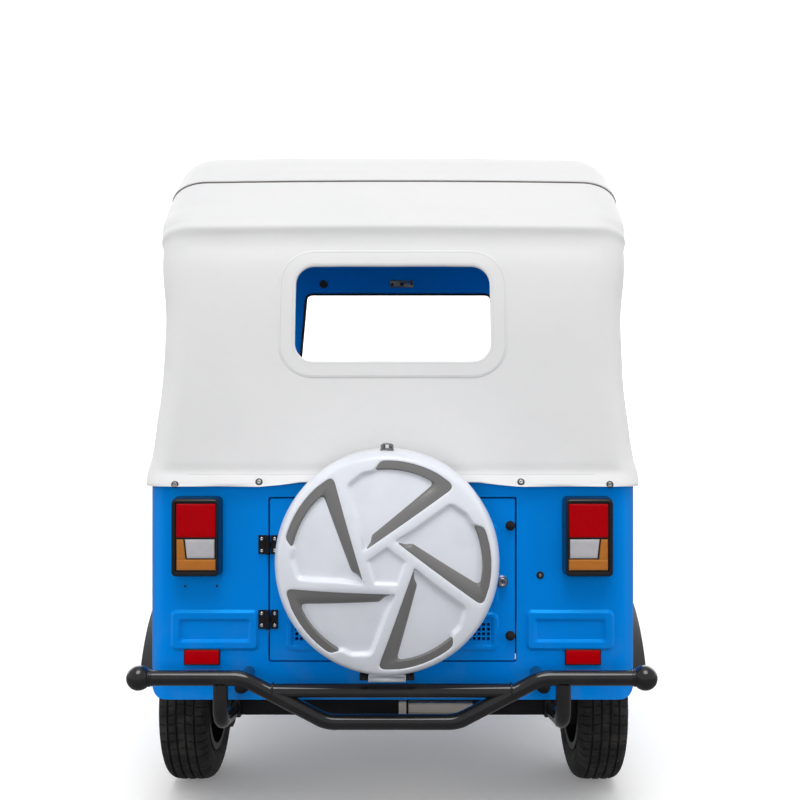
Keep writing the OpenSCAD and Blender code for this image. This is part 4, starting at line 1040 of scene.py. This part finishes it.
rounded_block(plate, (SPARE_X - TAB_HALF, -158, low_z - 13), (SPARE_X + TAB_HALF, -126, low_z + 3), 2.5)
plate.make("cover_tab", "cover_white", "engine_lid")
for side in (-1, 1):
    x0, x1 = sorted(SPARE_X + side * x for x in HOLDER_X)
    rounded_block(holders, (x0, -150, low_z - 11), (x1, -118, low_z + 8), 2.5)
    rounded_block(holders, (x0 + 3, -156, low_z - 8), (x1 - 3, -149, low_z + 4), 1.5)
holders.make("cover_tab_holders", "black_plastic", "engine_lid")


# Tyres

# Where the tread's shoulder begins, and the radius below which the side wall has no slots
SHOULDER_X, WALL_R = 41, 214


def tread_depth(x):
    """Depth of the cross slots at a distance from the tread's middle line."""
    v = abs(x)
    if v > SHOULDER_X:
        return 5.5 * (1 - smooth_step(62, 66, v))
    if 16 < v < 32:
        return 4.0
    return 3.0 if v < 7 else 0.0


GROOVES = (-36, -12, 12, 36)
# Degrees from slot to slot, and stations within that: degrees, and whether in the slot
TREAD_PITCH = 6
TREAD_STATIONS = ((0, 0), (2.3, 0), (4.75, 0), (4.9, 1), (5.85, 1))


def tyre_profile():
    """Half section from the bead to the tread's middle as (x, radius), then mirrored."""
    side = [(46, 153.2), (52, 153.0), (54.5, 158), (54, 166), (55.5, 171), (59, 173.5), (61, 176.5), (62.2, 183),
            (65.6, 189), (67.2, 196), (68, 202), (67.6, 209), (66.4, 211), (66.4, 213), (67, 215), (65.4, 222),
            (62.6, 229), (60, 233.4), (55.5, 238.2), (50, 241.6), (45, 243.6), (40.6, 244.8)]
    tread = []
    for g in (36, 12):
        tread += [(g + 3.4, 245.4), (g + 2.8, 244.4), (g + 2.1, 238.4), (g - 2.1, 238.4), (g - 2.8, 244.6),
                  (g - 3.4, 245.8)]
        tread += [(g - 8, 246.4), (g - 12, 246.7), (g - 16, 246.8)] if g > 20 else [(4, 247), (0, 247)]
    half = side + tread
    return half + [(-x, r) for x, r in reversed(half[:-1])]


def tyre_piece(name, centre, axle, body, node):
    """Tyre about an axle; cross slots lean with the distance from the middle."""
    shape = Shape()
    axle = Vector(axle)
    side = Vector((0, 0, 1))
    ahead = axle.cross(side)
    rows = []
    profile = tyre_profile()
    for k in range(360 // TREAD_PITCH):
        for station, slot in TREAD_STATIONS:
            row = []
            for x, r in profile:
                v = abs(x)
                lean = 0.05 * (v - 20) if v < SHOULDER_X else 1.05 + 0.02 * (v - SHOULDER_X)
                a = math.radians(k * TREAD_PITCH + station + lean)
                groove = any(abs(x - g) < 2.5 for g in GROOVES)
                deep = r - (tread_depth(x) if slot and not groove and r > WALL_R else 0)
                row.append(centre + axle * (x * MM) + (side * math.cos(a) + ahead * math.sin(a)) * (deep * MM))
            rows.append(row)
    shape.grid(rows, loop=True)
    shape.make(name, "tyre_rubber", body, replaces=(node,), tidy=True, sharp=32)


TRACK_X, REAR_AXLE_Y, FRONT_AXLE_Y, AXLE_Z = 580, 430, 2410, 247
SPARE_Y = -98
tyre_piece("tread_rear_left", spot(-TRACK_X, REAR_AXLE_Y, AXLE_Z), (1, 0, 0), "rear_left_wheel", "rear_left_tyre")
tyre_piece("tread_rear_right", spot(TRACK_X, REAR_AXLE_Y, AXLE_Z), (1, 0, 0), "rear_right_wheel",
           "rear_right_tyre")
tyre_piece("tread_front", spot(0, FRONT_AXLE_Y, AXLE_Z), (1, 0, 0), "front_wheel", "front_tyre")
tyre_piece("tread_spare", spot(SPARE_X, SPARE_Y, SPARE_Z), (0, 1, 0), "engine_lid", "spare_tyre")

# Wheel nuts and hub caps
NUT_CIRCLE, RIM_FACE = 52, 22
HUB_CAP = ((0, 51), (10, 51), (22, 48.5), (29, 43), (31, 38), (35, 37), (37, 34), (37, 24))
NUT = ((0, 14), (6, 14), (9.6, 12.5), (9.6, 2), (12, 0.5), (12, -1))
for body, x, y, out in (("rear_left_wheel", -TRACK_X, REAR_AXLE_Y, -1), ("rear_right_wheel", TRACK_X, REAR_AXLE_Y, 1),
                        ("front_wheel", 0, FRONT_AXLE_Y, 1)):
    nuts = Shape()
    for a in range(0, 360, 90):
        off = polar(NUT_CIRCLE, a)
        nuts.lathe(spot(x + out * RIM_FACE, y + off.x, AXLE_Z + off.y), (out, 0, 0), NUT, 6)
    nuts.make(body + "_nuts", "bright_trim", body, smooth=False)
    cap = Shape()
    cap.lathe(spot(x, y, AXLE_Z), (out, 0, 0), HUB_CAP, 36)
    cap.make(body + "_cap", "rim_steel", body)


# Lamps

LAMP_X, LAMP_Z, LAMP_FACE, LAMP_PLATE = 495, 759, -46, -43
RED_FIELD = ((-53, 89), (45.5, 89), (45.5, 5), (-52, 5))
CLEAR_FIELD = ((-50, 0), (24, 0), (18.6, -47), (-50, -47))
AMBER_BAR = ((-53, -50.5), (45, -50.5), (45, -77), (-53, -77))
AMBER_SIDE = ((28, 0), (45, 0), (45, -51), (22.5, -51))
REFLECTOR_X, REFLECTOR_Z = 484, 455
REFLECTOR_FIELD = ((-43.5, 18), (43.5, 18), (43.5, -18), (-43.5, -18))
REFLECTOR_SIZE, REFLECTOR_CORNER = (88, 37), 2.6
# The reflectors' edges: distance out from their outline, and height
REFLECTOR_EDGE = ((1.6, -0.2), (1.6, 8.6), (0.8, 9.4), (-0.4, 9.4), (-1.0, 8.6), (-1.0, -0.2))
# How far a lens sinks at its edges, and within what distance
LENS_SINK, LENS_EDGE = 1.2, 2.5
# Housing from the panel to its lip and back to the plate behind the lenses: inner and outer side, bottom, top,
# corner radius, y
LAMP_SHELL = (
    (-63, 62, -97, 105, 14, -0.3), (-60.5, 59.2, -94, 102, 12, -36), (-59.8, 58.4, -93.2, 101, 11, -43),
    (-58.3, 56.5, -91, 99, 9.5, -47.3), (-57, 51.5, -86, 96, 7, -48.6), (-55.5, 48.5, -82, 92.5, 5, -47.5),
    (-55, 47.5, -80.5, 91, 5, LAMP_PLATE),
)


def fluted(shape, corners, place, front, back, pitch, rise, rows_up, dots):
    """Lens with upright flutes, broken up by dots, over a four-cornered field; place(x, z, y) gives the spot."""
    tl, tr, br, bl = (Vector(c) for c in corners)
    count = max(4, round((tr - tl).length / pitch))
    cols = [j / (count * 4) for j in range(count * 4 + 1)]
    rows = []
    for i in range(rows_up + 1):
        v = i / rows_up
        a, b = tl.lerp(bl, v), tr.lerp(br, v)
        line = []
        for u in cols:
            lift = rise * abs(math.sin(math.pi * u * count)) * (1 - dots * abs(math.cos(math.pi * v * rows_up / 2)))
            wide, high = (b - a).length, (bl - tl).length
            near = min(u * wide, (1 - u) * wide, v * high, (1 - v) * high)
            sink = LENS_SINK * (1 - min(1, near / LENS_EDGE)) ** 2
            line.append((a.lerp(b, u), front - lift + sink))
        rows.append(line)
    base = shape.grid([[place(p.x, p.y, y) for p, y in line] for line in rows])
    rim = grid_rim(len(cols), len(rows))
    flat = [q for line in rows for q in line]
    under = len(shape.points)
    shape.points += [place(flat[k][0].x, flat[k][0].y, back) for k in rim]
    for k in range(len(rim)):
        m = (k + 1) % len(rim)
        shape.faces.append((base + rim[k], under + k, under + m, base + rim[m]))


def mirrored(side, x0, z0):
    """Places about a point on the left or right of the tail panel."""
    return lambda x, z, y: spot(side * (x0 + x), y, z0 + z)


red, amber, clear, shells, edges = Shape(), Shape(), Shape(), Shape(), Shape()
# Lens, field, pitch and rise of the flutes, rows up, share of dots
LAMP_FIELDS = ((red, RED_FIELD, 3.2, 1.5, 28, 0.9), (clear, CLEAR_FIELD, 4.5, 0.5, 12, 0.3),
               (amber, AMBER_BAR, 3.6, 0.5, 12, 0.4), (amber, AMBER_SIDE, 3.6, 0.5, 14, 0.4))
for side in (-1, 1):
    place = mirrored(side, LAMP_X, LAMP_Z)
    shell_rows = [[place((x0 + x1) / 2 + x, (z0 + z1) / 2 + z, y)
                   for x, z, _, _ in round_rect(x1 - x0, z1 - z0, r, 6)] for x0, x1, z0, z1, r, y in LAMP_SHELL]
    shell_base = shells.grid(shell_rows, ring=True)
    shells.cap(shell_base + (len(shell_rows) - 1) * len(shell_rows[0]), len(shell_rows[0]))
    for lens, field, *flutes in LAMP_FIELDS:
        fluted(lens, field, place, LAMP_FACE, LAMP_PLATE + 0.5, *flutes)
    fluted(red, REFLECTOR_FIELD, mirrored(side, REFLECTOR_X, REFLECTOR_Z), -9.6, -0.3, 3.0, 0.6, 14, 0.8)
    edges.grid(rect_rows(REFLECTOR_SIZE, REFLECTOR_EDGE, lambda grow: REFLECTOR_CORNER, 4,
                         lambda x, z, rise: spot(side * REFLECTOR_X + x, -rise, REFLECTOR_Z + z)),
               ring=True, loop=True)
shells.make("lamp_shells", "lamp_black", slot="black_plastic", replaces=("tail_lamp_housings",), tidy=True, sharp=45)
edges.make("reflector_edges", "lamp_black", slot="black_plastic", tidy=True, sharp=45)
for name, shape, node in (("red_lens", red, "red_lenses"), ("amber_lens", amber, "amber_lenses"),
                          ("clear_lens", clear, "clear_lenses")):
    shape.make(name + "_flutes", name, replaces=(node,), tidy=True, sharp=50)


# Small parts of the lid and tail panel

REARWARD = (0, -1, 0)
SCREW = ((0, 1.6), (0.9, 1.6), (1.2, 2.4), (3.4, 2.6), (4.6, 1.7), (5.0, 0.4), (5.0, -1))
LEAF_FACE = -4.3
HINGE_X, HINGE_Z, SCREW_OUT, SCREW_UP = -316, (550, 740), 16.5, (-15, 15)
for body, side in (("chassis", -1), ("engine_lid", 1)):
    screws = Shape()
    for z in HINGE_Z:
        for up in SCREW_UP:
            screws.lathe(spot(HINGE_X + side * SCREW_OUT, LEAF_FACE, z + up), REARWARD, SCREW, 16)
    screws.make("hinge_screws_" + body, "bright_trim", body)

LOCK_X, LOCK_Z = 279, 646
LOCK = ((0, 14.5), (4, 14.5), (5.2, 15.4), (6.2, 17.8), (9.6, 18.2), (11.6, 16.5), (12.2, 13), (12.2, 2.5),
        (15, 1.6), (15.5, 0.6), (15.5, -0.6))
lock = Shape()
lock.lathe(spot(LOCK_X, 0, LOCK_Z), REARWARD, LOCK, 32)
lock.make("lid_lock", "clip_steel", "engine_lid", "bright_trim")
# Black block on the lock's face: painted shade in place of the key slot's dark hollow
key_slot = Shape()
rounded_block(key_slot, (LOCK_X - 1.2, -15.2, LOCK_Z - 3.4), (LOCK_X + 1.2, -13.8, LOCK_Z + 3.4), 0.6)
key_slot.make("lid_lock_slot", "black_plastic", "engine_lid")

STOP = ((0, 16.5), (4, 16.2), (8, 14.5), (10.4, 11.5), (11, 8), (11, 3), (12.5, 1.5), (12.5, -0.5))
STOP_X, STOP_Z = 300, (508, 788)
stops = Shape()
for z in STOP_Z:
    stops.lathe(spot(STOP_X, 0, z), REARWARD, STOP, 24)
stops.make("lid_stops", "grip_rubber", "engine_lid")

# Pressed frames of the tail panel and the lid: distance out from the outline, and height
DEEP_PRESSING = ((6.4, 0.1), (5.8, 0.4), (-0.8, 5.7), (-1.8, 6.2), (-15.2, 6.2), (-16.2, 5.7), (-22.8, 0.4),
                 (-23.4, 0.1))
LOW_PRESSING = ((5.4, 0.1), (4.8, 0.4), (0.2, 4.0), (-0.8, 4.4), (-7.2, 4.4), (-8.2, 4.0), (-12.8, 0.4),
                (-13.4, 0.1))
LEAST_CORNER = 6
# Body, profile, corner radius, and each frame's middle (x, z) and size
PRESSINGS = {
    "tail_pressings": ("chassis", DEEP_PRESSING, 10, (((-452, 522), (214, 92)), ((452, 522), (214, 92)))),
    "lid_pressings": ("engine_lid", LOW_PRESSING, 14, (((0, 690), (532, 200)), ((0, 518), (532, 90)))),
}
for name, (body, profile, radius, frames) in PRESSINGS.items():
    pressed = Shape()
    for (x0, z0), size in frames:
        pressed.grid(rect_rows(size, profile, lambda grow: max(LEAST_CORNER, radius + grow), 8,
                               lambda x, z, rise: spot(x0 + x, -rise, z0 + z)), ring=True, loop=True)
    pressed.make(name, "body_blue", body, tidy=True, sharp=14)

# Dark sheet behind the lid's grilles: painted shade, so that the holes look dark
LID_T = 20
SHADE_SHEET_X, SHADE_SHEET_Z = (126, 266), (490, 546)
shade_sheet = Shape()
for side in (-1, 1):
    x0, x1 = sorted(side * x for x in SHADE_SHEET_X)
    rounded_block(shade_sheet, (x0, LID_T + 0.4, SHADE_SHEET_Z[0]), (x1, LID_T + 2.4, SHADE_SHEET_Z[1]), 0.9)
shade_sheet.make("grille_shade_sheet", "black_plastic", "engine_lid")

# Rubber washer with a stud beside the lid, and small plugs under the left lamp
STUD_X, STUD_Z = 376, 662
PLUG_X, PLUG_Z = (-528, -447), 634
WASHER = ((4, 2.4), (6, 3.4), (8.4, 2.8), (9.6, 1.2), (9.8, -0.5))
PLUG = ((0, 0.5), (2.2, 0.9), (3.0, 0.5), (3.2, -0.4))
STUD = ((0, 3.0), (1.2, 3.0), (1.6, 4.4), (3.4, 4.2), (4.4, 2.6), (4.4, 0))
washer, stud = Shape(), Shape()
washer.lathe(spot(STUD_X, 0, STUD_Z), REARWARD, WASHER, 24)
for x in PLUG_X:
    washer.lathe(spot(x, 0, PLUG_Z), REARWARD, PLUG, 14)
washer.make("tail_washers", "grip_rubber")
stud.lathe(spot(STUD_X, 0, STUD_Z), REARWARD, STUD, 20)
stud.make("tail_stud", "clip_steel", slot="bright_trim")


# Weld beads and collars of the bumper

BUMPER_Y, BUMPER_Z, CROSS_Z = -98, 427, 396
HOOK_X, HOOK_Z, HOOK_BEND, HOOK_TOP, HOOK_R = 420, 312, 42, 412, 19
# Distance from the middle plane, height, axis, radius and thickness
BEADS = ((594, BUMPER_Z, (1, 0, 0), 19.6, 2.0), (588, BUMPER_Z, (1, 0, 0), 19.2, 1.5),
         (292, CROSS_Z, (1, 0, 0), 17.2, 2.6), (HOOK_X, BUMPER_Z - 19, (0, 0, 1), 13.8, 2.6))
BEAD_STEPS, BEAD_SIDES = 56, 8


def bead(shape, centre, axis, radius, thick):
    """Ring of weld with an uneven surface."""
    axis, side, up = axis_frame(axis)
    rows = []
    for j, a in enumerate(turn_angles(BEAD_STEPS)):
        out = side * math.cos(a) + up * math.sin(a)
        uneven = 1 + 0.25 * math.sin(j * 2.1) + 0.15 * math.sin(j * 5.3)
        rows.append([centre + out * (radius * MM) + (out * math.cos(b) + axis * math.sin(b)) * (thick * uneven * MM)
                     for b in turn_angles(BEAD_SIDES)])
    shape.grid(rows, ring=True, loop=True)


collars = Shape()
for side in (-1, 1):
    for x, z, axis, radius, thick in BEADS:
        bead(collars, spot(side * x, BUMPER_Y, z), axis, radius, thick)
collars.make("bumper_welds", "black_gloss")

# Sleeves over the bumper's hooked brackets, and round buffers on the tail panel
BUFFER_X, BUFFER_Z = 384, 380
BUFFER = ((0, 21), (9, 20.5), (14, 18), (16.5, 13), (17, 4), (18.5, 2), (18.5, -0.5))
sleeves, buffers = Shape(), Shape()
for side in (-1, 1):
    path = [(HOOK_X, BUMPER_Y, HOOK_TOP)]
    path += [(HOOK_X, BUMPER_Y + HOOK_BEND * (1 - math.cos(math.radians(a))),
              HOOK_Z + HOOK_BEND * (1 - math.sin(math.radians(a)))) for a in range(0, 91, 10)]
    path += [(HOOK_X - 4, -28, HOOK_Z), (HOOK_X - 8, -6, HOOK_Z)]
    sleeves.tube([spot(side * x, y, z) for x, y, z in path], HOOK_R * MM, 18)
    buffers.lathe(spot(side * BUFFER_X, 0, BUFFER_Z), REARWARD, BUFFER, 28)
sleeves.make("hook_sleeves", "black_gloss", sharp=50)
buffers.make("tail_buffers", "grip_rubber")

# Light metal casing under the tail, with its strap
CASING_FRONT = 40.2
casing = Shape()
for low, (x, z) in (((40, 10, 307), (205, 332)), ((40, 14, 288), (205, 305.5)), ((16, 5, 284), (35, 338))):
    rounded_block(casing, low, (x, CASING_FRONT, z), 3)
casing.make("tail_casing", "casing_alloy", slot="engine_alloy", sharp=SHARP)


# Windscreen: inner fitting and grommets on the header, gasket, wiper and mirror glasses

SCREEN_TILT, SCREEN_FOOT, SCREEN_T = math.radians(28), (2172, 1034), 28
UP_Y, UP_Z = -math.sin(SCREEN_TILT), math.cos(SCREEN_TILT)


def on_screen(x, up, back):
    """Place on the windscreen: up along it from its foot, back from its front face towards the seats."""
    return spot(x, SCREEN_FOOT[0] + up * UP_Y - back * math.cos(SCREEN_TILT),
                SCREEN_FOOT[1] + up * UP_Z - back * math.sin(SCREEN_TILT))


BACK_AXIS = (0, -math.cos(SCREEN_TILT), -math.sin(SCREEN_TILT))
FITTING_T, FITTING_UP = 7, 671
DISC = ((0, 1), (6, 1.4), (8, 0.6), (8, -0.5))
GROMMET = ((0, 3), (8, 3.5), (14, 5.5), (18, 3.5), (19, -0.5))
fitting, fitting_trim = Shape(), Shape()
rounded_block(fitting, (-37, -SCREEN_T - FITTING_T, 654), (67, -SCREEN_T, 688), 2.5,
              lambda x, y, z: on_screen(x, z, -y), 0.5)
fitting.make("header_fitting", "engine_alloy")
for x in (-26, 56):
    fitting_trim.lathe(on_screen(x, FITTING_UP, SCREEN_T + FITTING_T), BACK_AXIS, SCREW, 14)
fitting_trim.lathe(on_screen(15, FITTING_UP, SCREEN_T + FITTING_T), BACK_AXIS, DISC, 20)
fitting_trim.lathe(on_screen(-326, 668, SCREEN_T), BACK_AXIS, GROMMET, 28)
fitting_trim.make("header_grommets", "black_plastic")

# Half width and height up the screen at the opening's foot and head, and its corner radius
OPENING = ((475, 70), (404, 622))
OPENING_R = 36


def screen_loop(grow):
    """Outline of the windscreen's opening, grown outward."""
    (w0, u0), (w1, u1) = OPENING
    corners = [Vector((w1 + grow, u1 + grow)), Vector((-w1 - grow, u1 + grow)), Vector((-w0 - grow, u0 - grow)),
               Vector((w0 + grow, u0 - grow))]
    return densify(fillet(corners, OPENING_R + grow, 8), 30)


gasket = Shape()
for back in (0.5, SCREEN_T - 0.5):
    gasket.tube([on_screen(p.x, p.y, back) for p in screen_loop(-2)], 5.5 * MM, 10, closed=True)
gasket.make("screen_gasket", "grip_rubber")

# Wiper: its pivot, arm (x, up, back) and blade (x, up)
WIPER_X, WIPER_UP = -150, 45
PIVOT = ((0, 22), (8, 21), (12, 16), (13, 2), (15, -1))
WIPER_ARM = ((WIPER_X, WIPER_UP, -16), (-110, 62, -18), (0, 84, -10), (70, 96, -2))
WIPER_BLADE = ((-150, 92), (0, 97), (150, 101), (290, 104))
wiper = Shape()
wiper.lathe(on_screen(WIPER_X, WIPER_UP, 0), [-v for v in BACK_AXIS], PIVOT, 24)
wiper.tube([on_screen(*place) for place in WIPER_ARM], 4 * MM, 8)
wiper.tube([on_screen(x, up, 4) for x, up in WIPER_BLADE], 4.5 * MM, 8)
wiper.make("wiper", "black_plastic")

MIRROR_X, MIRROR_UP, MIRROR_BACK = 624.8, 230, 20
MIRROR_SIZE, MIRROR_CORNER = (88, 132), 17
MIRROR_PROFILE = ((0, -0.5), (0, 0.5), (-1.2, 1.2), (-14, 1.8))
mirror_glass = Shape()
for side in (-1, 1):
    hub = on_screen(side * MIRROR_X, MIRROR_UP, 5)
    rows = rect_rows(MIRROR_SIZE, MIRROR_PROFILE, lambda grow: MIRROR_CORNER + grow, 5,
                     lambda x, z, lift: hub + Vector((x * MM, -(MIRROR_BACK + lift) * MM, z * MM)))
    base = mirror_glass.grid(rows, ring=True)
    mirror_glass.cap(base + 3 * len(rows[0]), len(rows[0]))
mirror_glass.make("mirror_glass", "bright_trim", tidy=True)


# Seats

def pad_shape(w, l, t, r):
    """Block with round edges, lying on z = 0 about its middle."""
    shape = Shape()
    profile = ((-r * 0.5, 0), (-r * 0.1, r * 0.3), (0, r), (0, t - r), (-r * 0.3, t - r * 0.3), (-r, t))
    shape.closed_rings(rect_rows((w, l), profile, lambda grow: r * 1.6, 6, lambda x, y, z: Vector((x, y, z)) * MM))
    return shape


SWELL_FRAMES = 20


def swell(piece, most):
    """Blows the pad up as cloth, and holds each point within a distance of where it was."""
    start = [v.co.copy() for v in piece.data.vertices]
    cloth = piece.modifiers.new("cloth", "CLOTH")
    cloth.settings.quality = 5
    cloth.settings.mass = 0.3
    cloth.settings.use_pressure = True
    cloth.settings.uniform_pressure_force = 4
    cloth.settings.effector_weights.gravity = 0
    cloth.collision_settings.use_collision = False
    cloth.point_cache.frame_start = 1
    cloth.point_cache.frame_end = SWELL_FRAMES
    for step in range(1, SWELL_FRAMES + 1):
        bpy.context.scene.frame_set(step)
    done = piece.evaluated_get(bpy.context.evaluated_depsgraph_get()).to_mesh()
    ends = [v.co.copy() for v in done.vertices]
    piece.modifiers.clear()
    bpy.context.scene.frame_set(1)
    for vertex, a, b in zip(piece.data.vertices, start, ends):
        move = b - a
        if move.length > most * MM:
            move = move.normalized() * (most * MM)
        vertex.co = a + move


# Height of the pads' crowns, and of the piping as shares of their thickness
CROWN = 5
PIPING_AT = (0.2, 0.74)
PIPING_R, PIPING_STEP = 3.2, 12


def pad(name, node, size, place, voxel, most, channels):
    """Upholstered pad in the room of a cushion's solid: size as it lies, place as a matrix from there."""
    w, l, t = size
    lean = 0.6 * most
    shape = pad_shape(w - 2 * lean, l - 2 * lean, t - lean, min(t * 0.36, 34))
    piece = shape.make(name, "seat_vinyl", replaces=(node,) if node else (), tidy=True)
    remesh = piece.modifiers.new("voxels", "REMESH")
    remesh.mode = "VOXEL"
    remesh.voxel_size = voxel * MM
    apply_modifiers(piece)
    swell(piece, most)
    for vertex in piece.data.vertices:
        p = vertex.co
        top = smooth_step(0.45 * t, 0.8 * t, p.z / MM)
        crown = 1 - 0.5 * ((2 * p.x / MM / w) ** 2 + (2 * p.y / MM / l) ** 2)
        p.z += top * CROWN * MM * max(0, crown)
        for axis, at, deep, half in channels:
            p.z -= top * deep * MM * math.exp(-((p[axis] / MM - at) / half) ** 2)
        pull = 0.012 * (1 - (2 * p.z / MM / t - 1) ** 2)
        p.x *= 1 + pull * ((2 * p.y / MM / l) ** 2 - 0.6)
        p.x = max(-w / 2 * MM, min(w / 2 * MM, p.x))
        p.y = max(-l / 2 * MM, min(l / 2 * MM, p.y))
        p.z = max(0.3 * MM, min((t + 4) * MM, p.z))
    tree = bvhtree.BVHTree.FromPolygons([v.co.copy() for v in piece.data.vertices],
                                        [tuple(f.vertices) for f in piece.data.polygons])
    cords = []
    for height in PIPING_AT:
        path = []
        for x, y, nx, ny in round_rect(w - 60, l - 60, min(40, t * 0.4), 8):
            far = Vector((x + nx * 120, y + ny * 120, height * t)) * MM
            hit = tree.ray_cast(far, Vector((-nx, -ny, 0)))[0]
            path.append(hit if hit else Vector((x, y, height * t)) * MM)
        cords.append(path)
    smooth = piece.modifiers.new("smooth", "SUBSURF")
    smooth.levels = smooth.render_levels = 1
    apply_modifiers(piece)
    shade(piece)
    piece.data.transform(place)
    piping = Shape()
    for path in cords:
        marks = resample(path + path[:1], PIPING_STEP * MM)[:-1]
        piping.tube([place @ p for p in marks], PIPING_R * MM, 8, closed=True)
    piping.make(name + "_piping", "seat_piping", slot="seat_vinyl")


def lying(x, y, z):
    return Matrix.Translation(spot(x, y, z))


def leaning(x, y, z, degrees):
    """Stands a pad up with its top towards the front, leaning back."""
    return Matrix.Translation(spot(x, y, z)) @ Matrix.Rotation(math.radians(-90 + degrees), 4, "X")


# Sewn channels: axis across them, place, depth, half width
CHANNELS = [(0, x, 7, 7) for x in (-390, -195, 0, 195, 390)]
pad("bench_cushion", "passenger_seat", (1160, 587, 111), lying(0, 681.5, 612.3), 12, 20,
    CHANNELS + [(1, 120, 6, 7)])
pad("bench_back", "passenger_backrest", (1100, 407, 78), leaning(0, 401, 928, 6), 12, 14, CHANNELS)
pad("driver_cushion", "driver_seat", (500, 362, 90), lying(0, 1579, 640.3), 8, 16,
    [(0, -120, 6, 6), (0, 0, 6, 6), (0, 120, 6, 6)])
pad("driver_back", "", (440, 334, 47), leaning(0, 1369, 1039, 0), 8, 9,
    [(0, -110, 5, 6), (0, 0, 5, 6), (0, 110, 5, 6)])


# Camera, light and floor

camera_data = bpy.data.cameras.new("camera")
camera = bpy.data.objects.new("camera", camera_data)
bpy.context.scene.collection.objects.link(camera)
CAMERA = (37, -2600, 1108)
camera.location = spot(*CAMERA)
camera.rotation_euler = (math.radians(90), 0, 0)
camera_data.sensor_width = 36
camera_data.lens = 45.945
camera_data.shift_x = -0.00875
bpy.context.scene.camera = camera

HALF_FLOOR = 62
QUAD = [(0, 1, 2, 3)]


def glowing(look, strength):
    look.set("Emission Color", (1, 1, 1, 1))
    look.set("Emission Strength", strength)
    return look


floor_look = glowing(Look("floor", (0.96, 0.96, 0.96), 0.7), 0.14)
floor_look.clouds(0.7, 3, 0.4, 0.7, (0.93, 0.93, 0.935), 0.5)
floor = new_object("floor", [(x * HALF_FLOOR, y * HALF_FLOOR, 0) for x, y in ((-1, -1), (1, -1), (1, 1), (-1, 1))],
                   QUAD, floor_look.material)
floor.visible_diffuse = False
floor.visible_glossy = False

world = bpy.data.worlds.new("studio")
world.use_nodes = True
sky = world.node_tree
background = sky.nodes["Background"]
sky_coords = sky.nodes.new("ShaderNodeTexCoord")
sky_split = sky.nodes.new("ShaderNodeSeparateXYZ")
sky_ramp = sky.nodes.new("ShaderNodeValToRGB")
for position, grey in ((0.06, 0.55), (0.9, 0.45)):
    sky_ramp.color_ramp.elements.new(position).color = (grey, grey, grey, 1)
sky_ramp.color_ramp.elements[0].color = (0.22, 0.22, 0.22, 1)
sky.links.new(sky_coords.outputs["Generated"], sky_split.inputs[0])
sky.links.new(sky_split.outputs["Z"], sky_ramp.inputs["Fac"])
sky.links.new(sky_ramp.outputs["Color"], background.inputs["Color"])
background.inputs["Strength"].default_value = 0.85
bpy.context.scene.world = world
bpy.context.scene.view_settings.view_transform = "Standard"

backdrop_look = glowing(Look("backdrop", (0.9, 0.9, 0.9), 0.9), 1.0)
backdrop = new_object("backdrop", [(-40, 25, -1), (40, 25, -1), (40, 25, 30), (-40, 25, 30)], QUAD,
                      backdrop_look.material)

# Pale surround for the other sides, seen but giving no light
SURROUND_R, SURROUND_Z, SURROUND_N = 60, (80, -2), 48
surround_ring = [(SURROUND_R * math.cos(a), SURROUND_R * math.sin(a)) for a in turn_angles(SURROUND_N)]
surround_shape = Shape()
surround_shape.grid([[(x, y, z) for x, y in surround_ring] for z in SURROUND_Z], ring=True)
surround = new_object("surround", surround_shape.points, surround_shape.faces, backdrop_look.material)
for flag in ("visible_diffuse", "visible_glossy", "visible_shadow"):
    setattr(surround, flag, False)

# Soft suns: the way the light goes, strength, and spread in degrees
for name, way, strength, spread in (("key", (0.1, 0.98, -0.12), 0.72, 35),
                                    ("top", (0.0, 0.4, -0.91), 1.3, 34), ("left", (1, 0.16, -0.12), 1.1, 50),
                                    ("right", (-1, 0.16, -0.12), 1.1, 50)):
    sun_data = bpy.data.lights.new(name, "SUN")
    sun_data.energy = strength
    sun_data.angle = math.radians(spread)
    sun = bpy.data.objects.new(name, sun_data)
    sun.rotation_euler = Vector(way).to_track_quat("-Z", "Y").to_euler()
    sun.visible_glossy = name == "top"
    bpy.context.scene.collection.objects.link(sun)
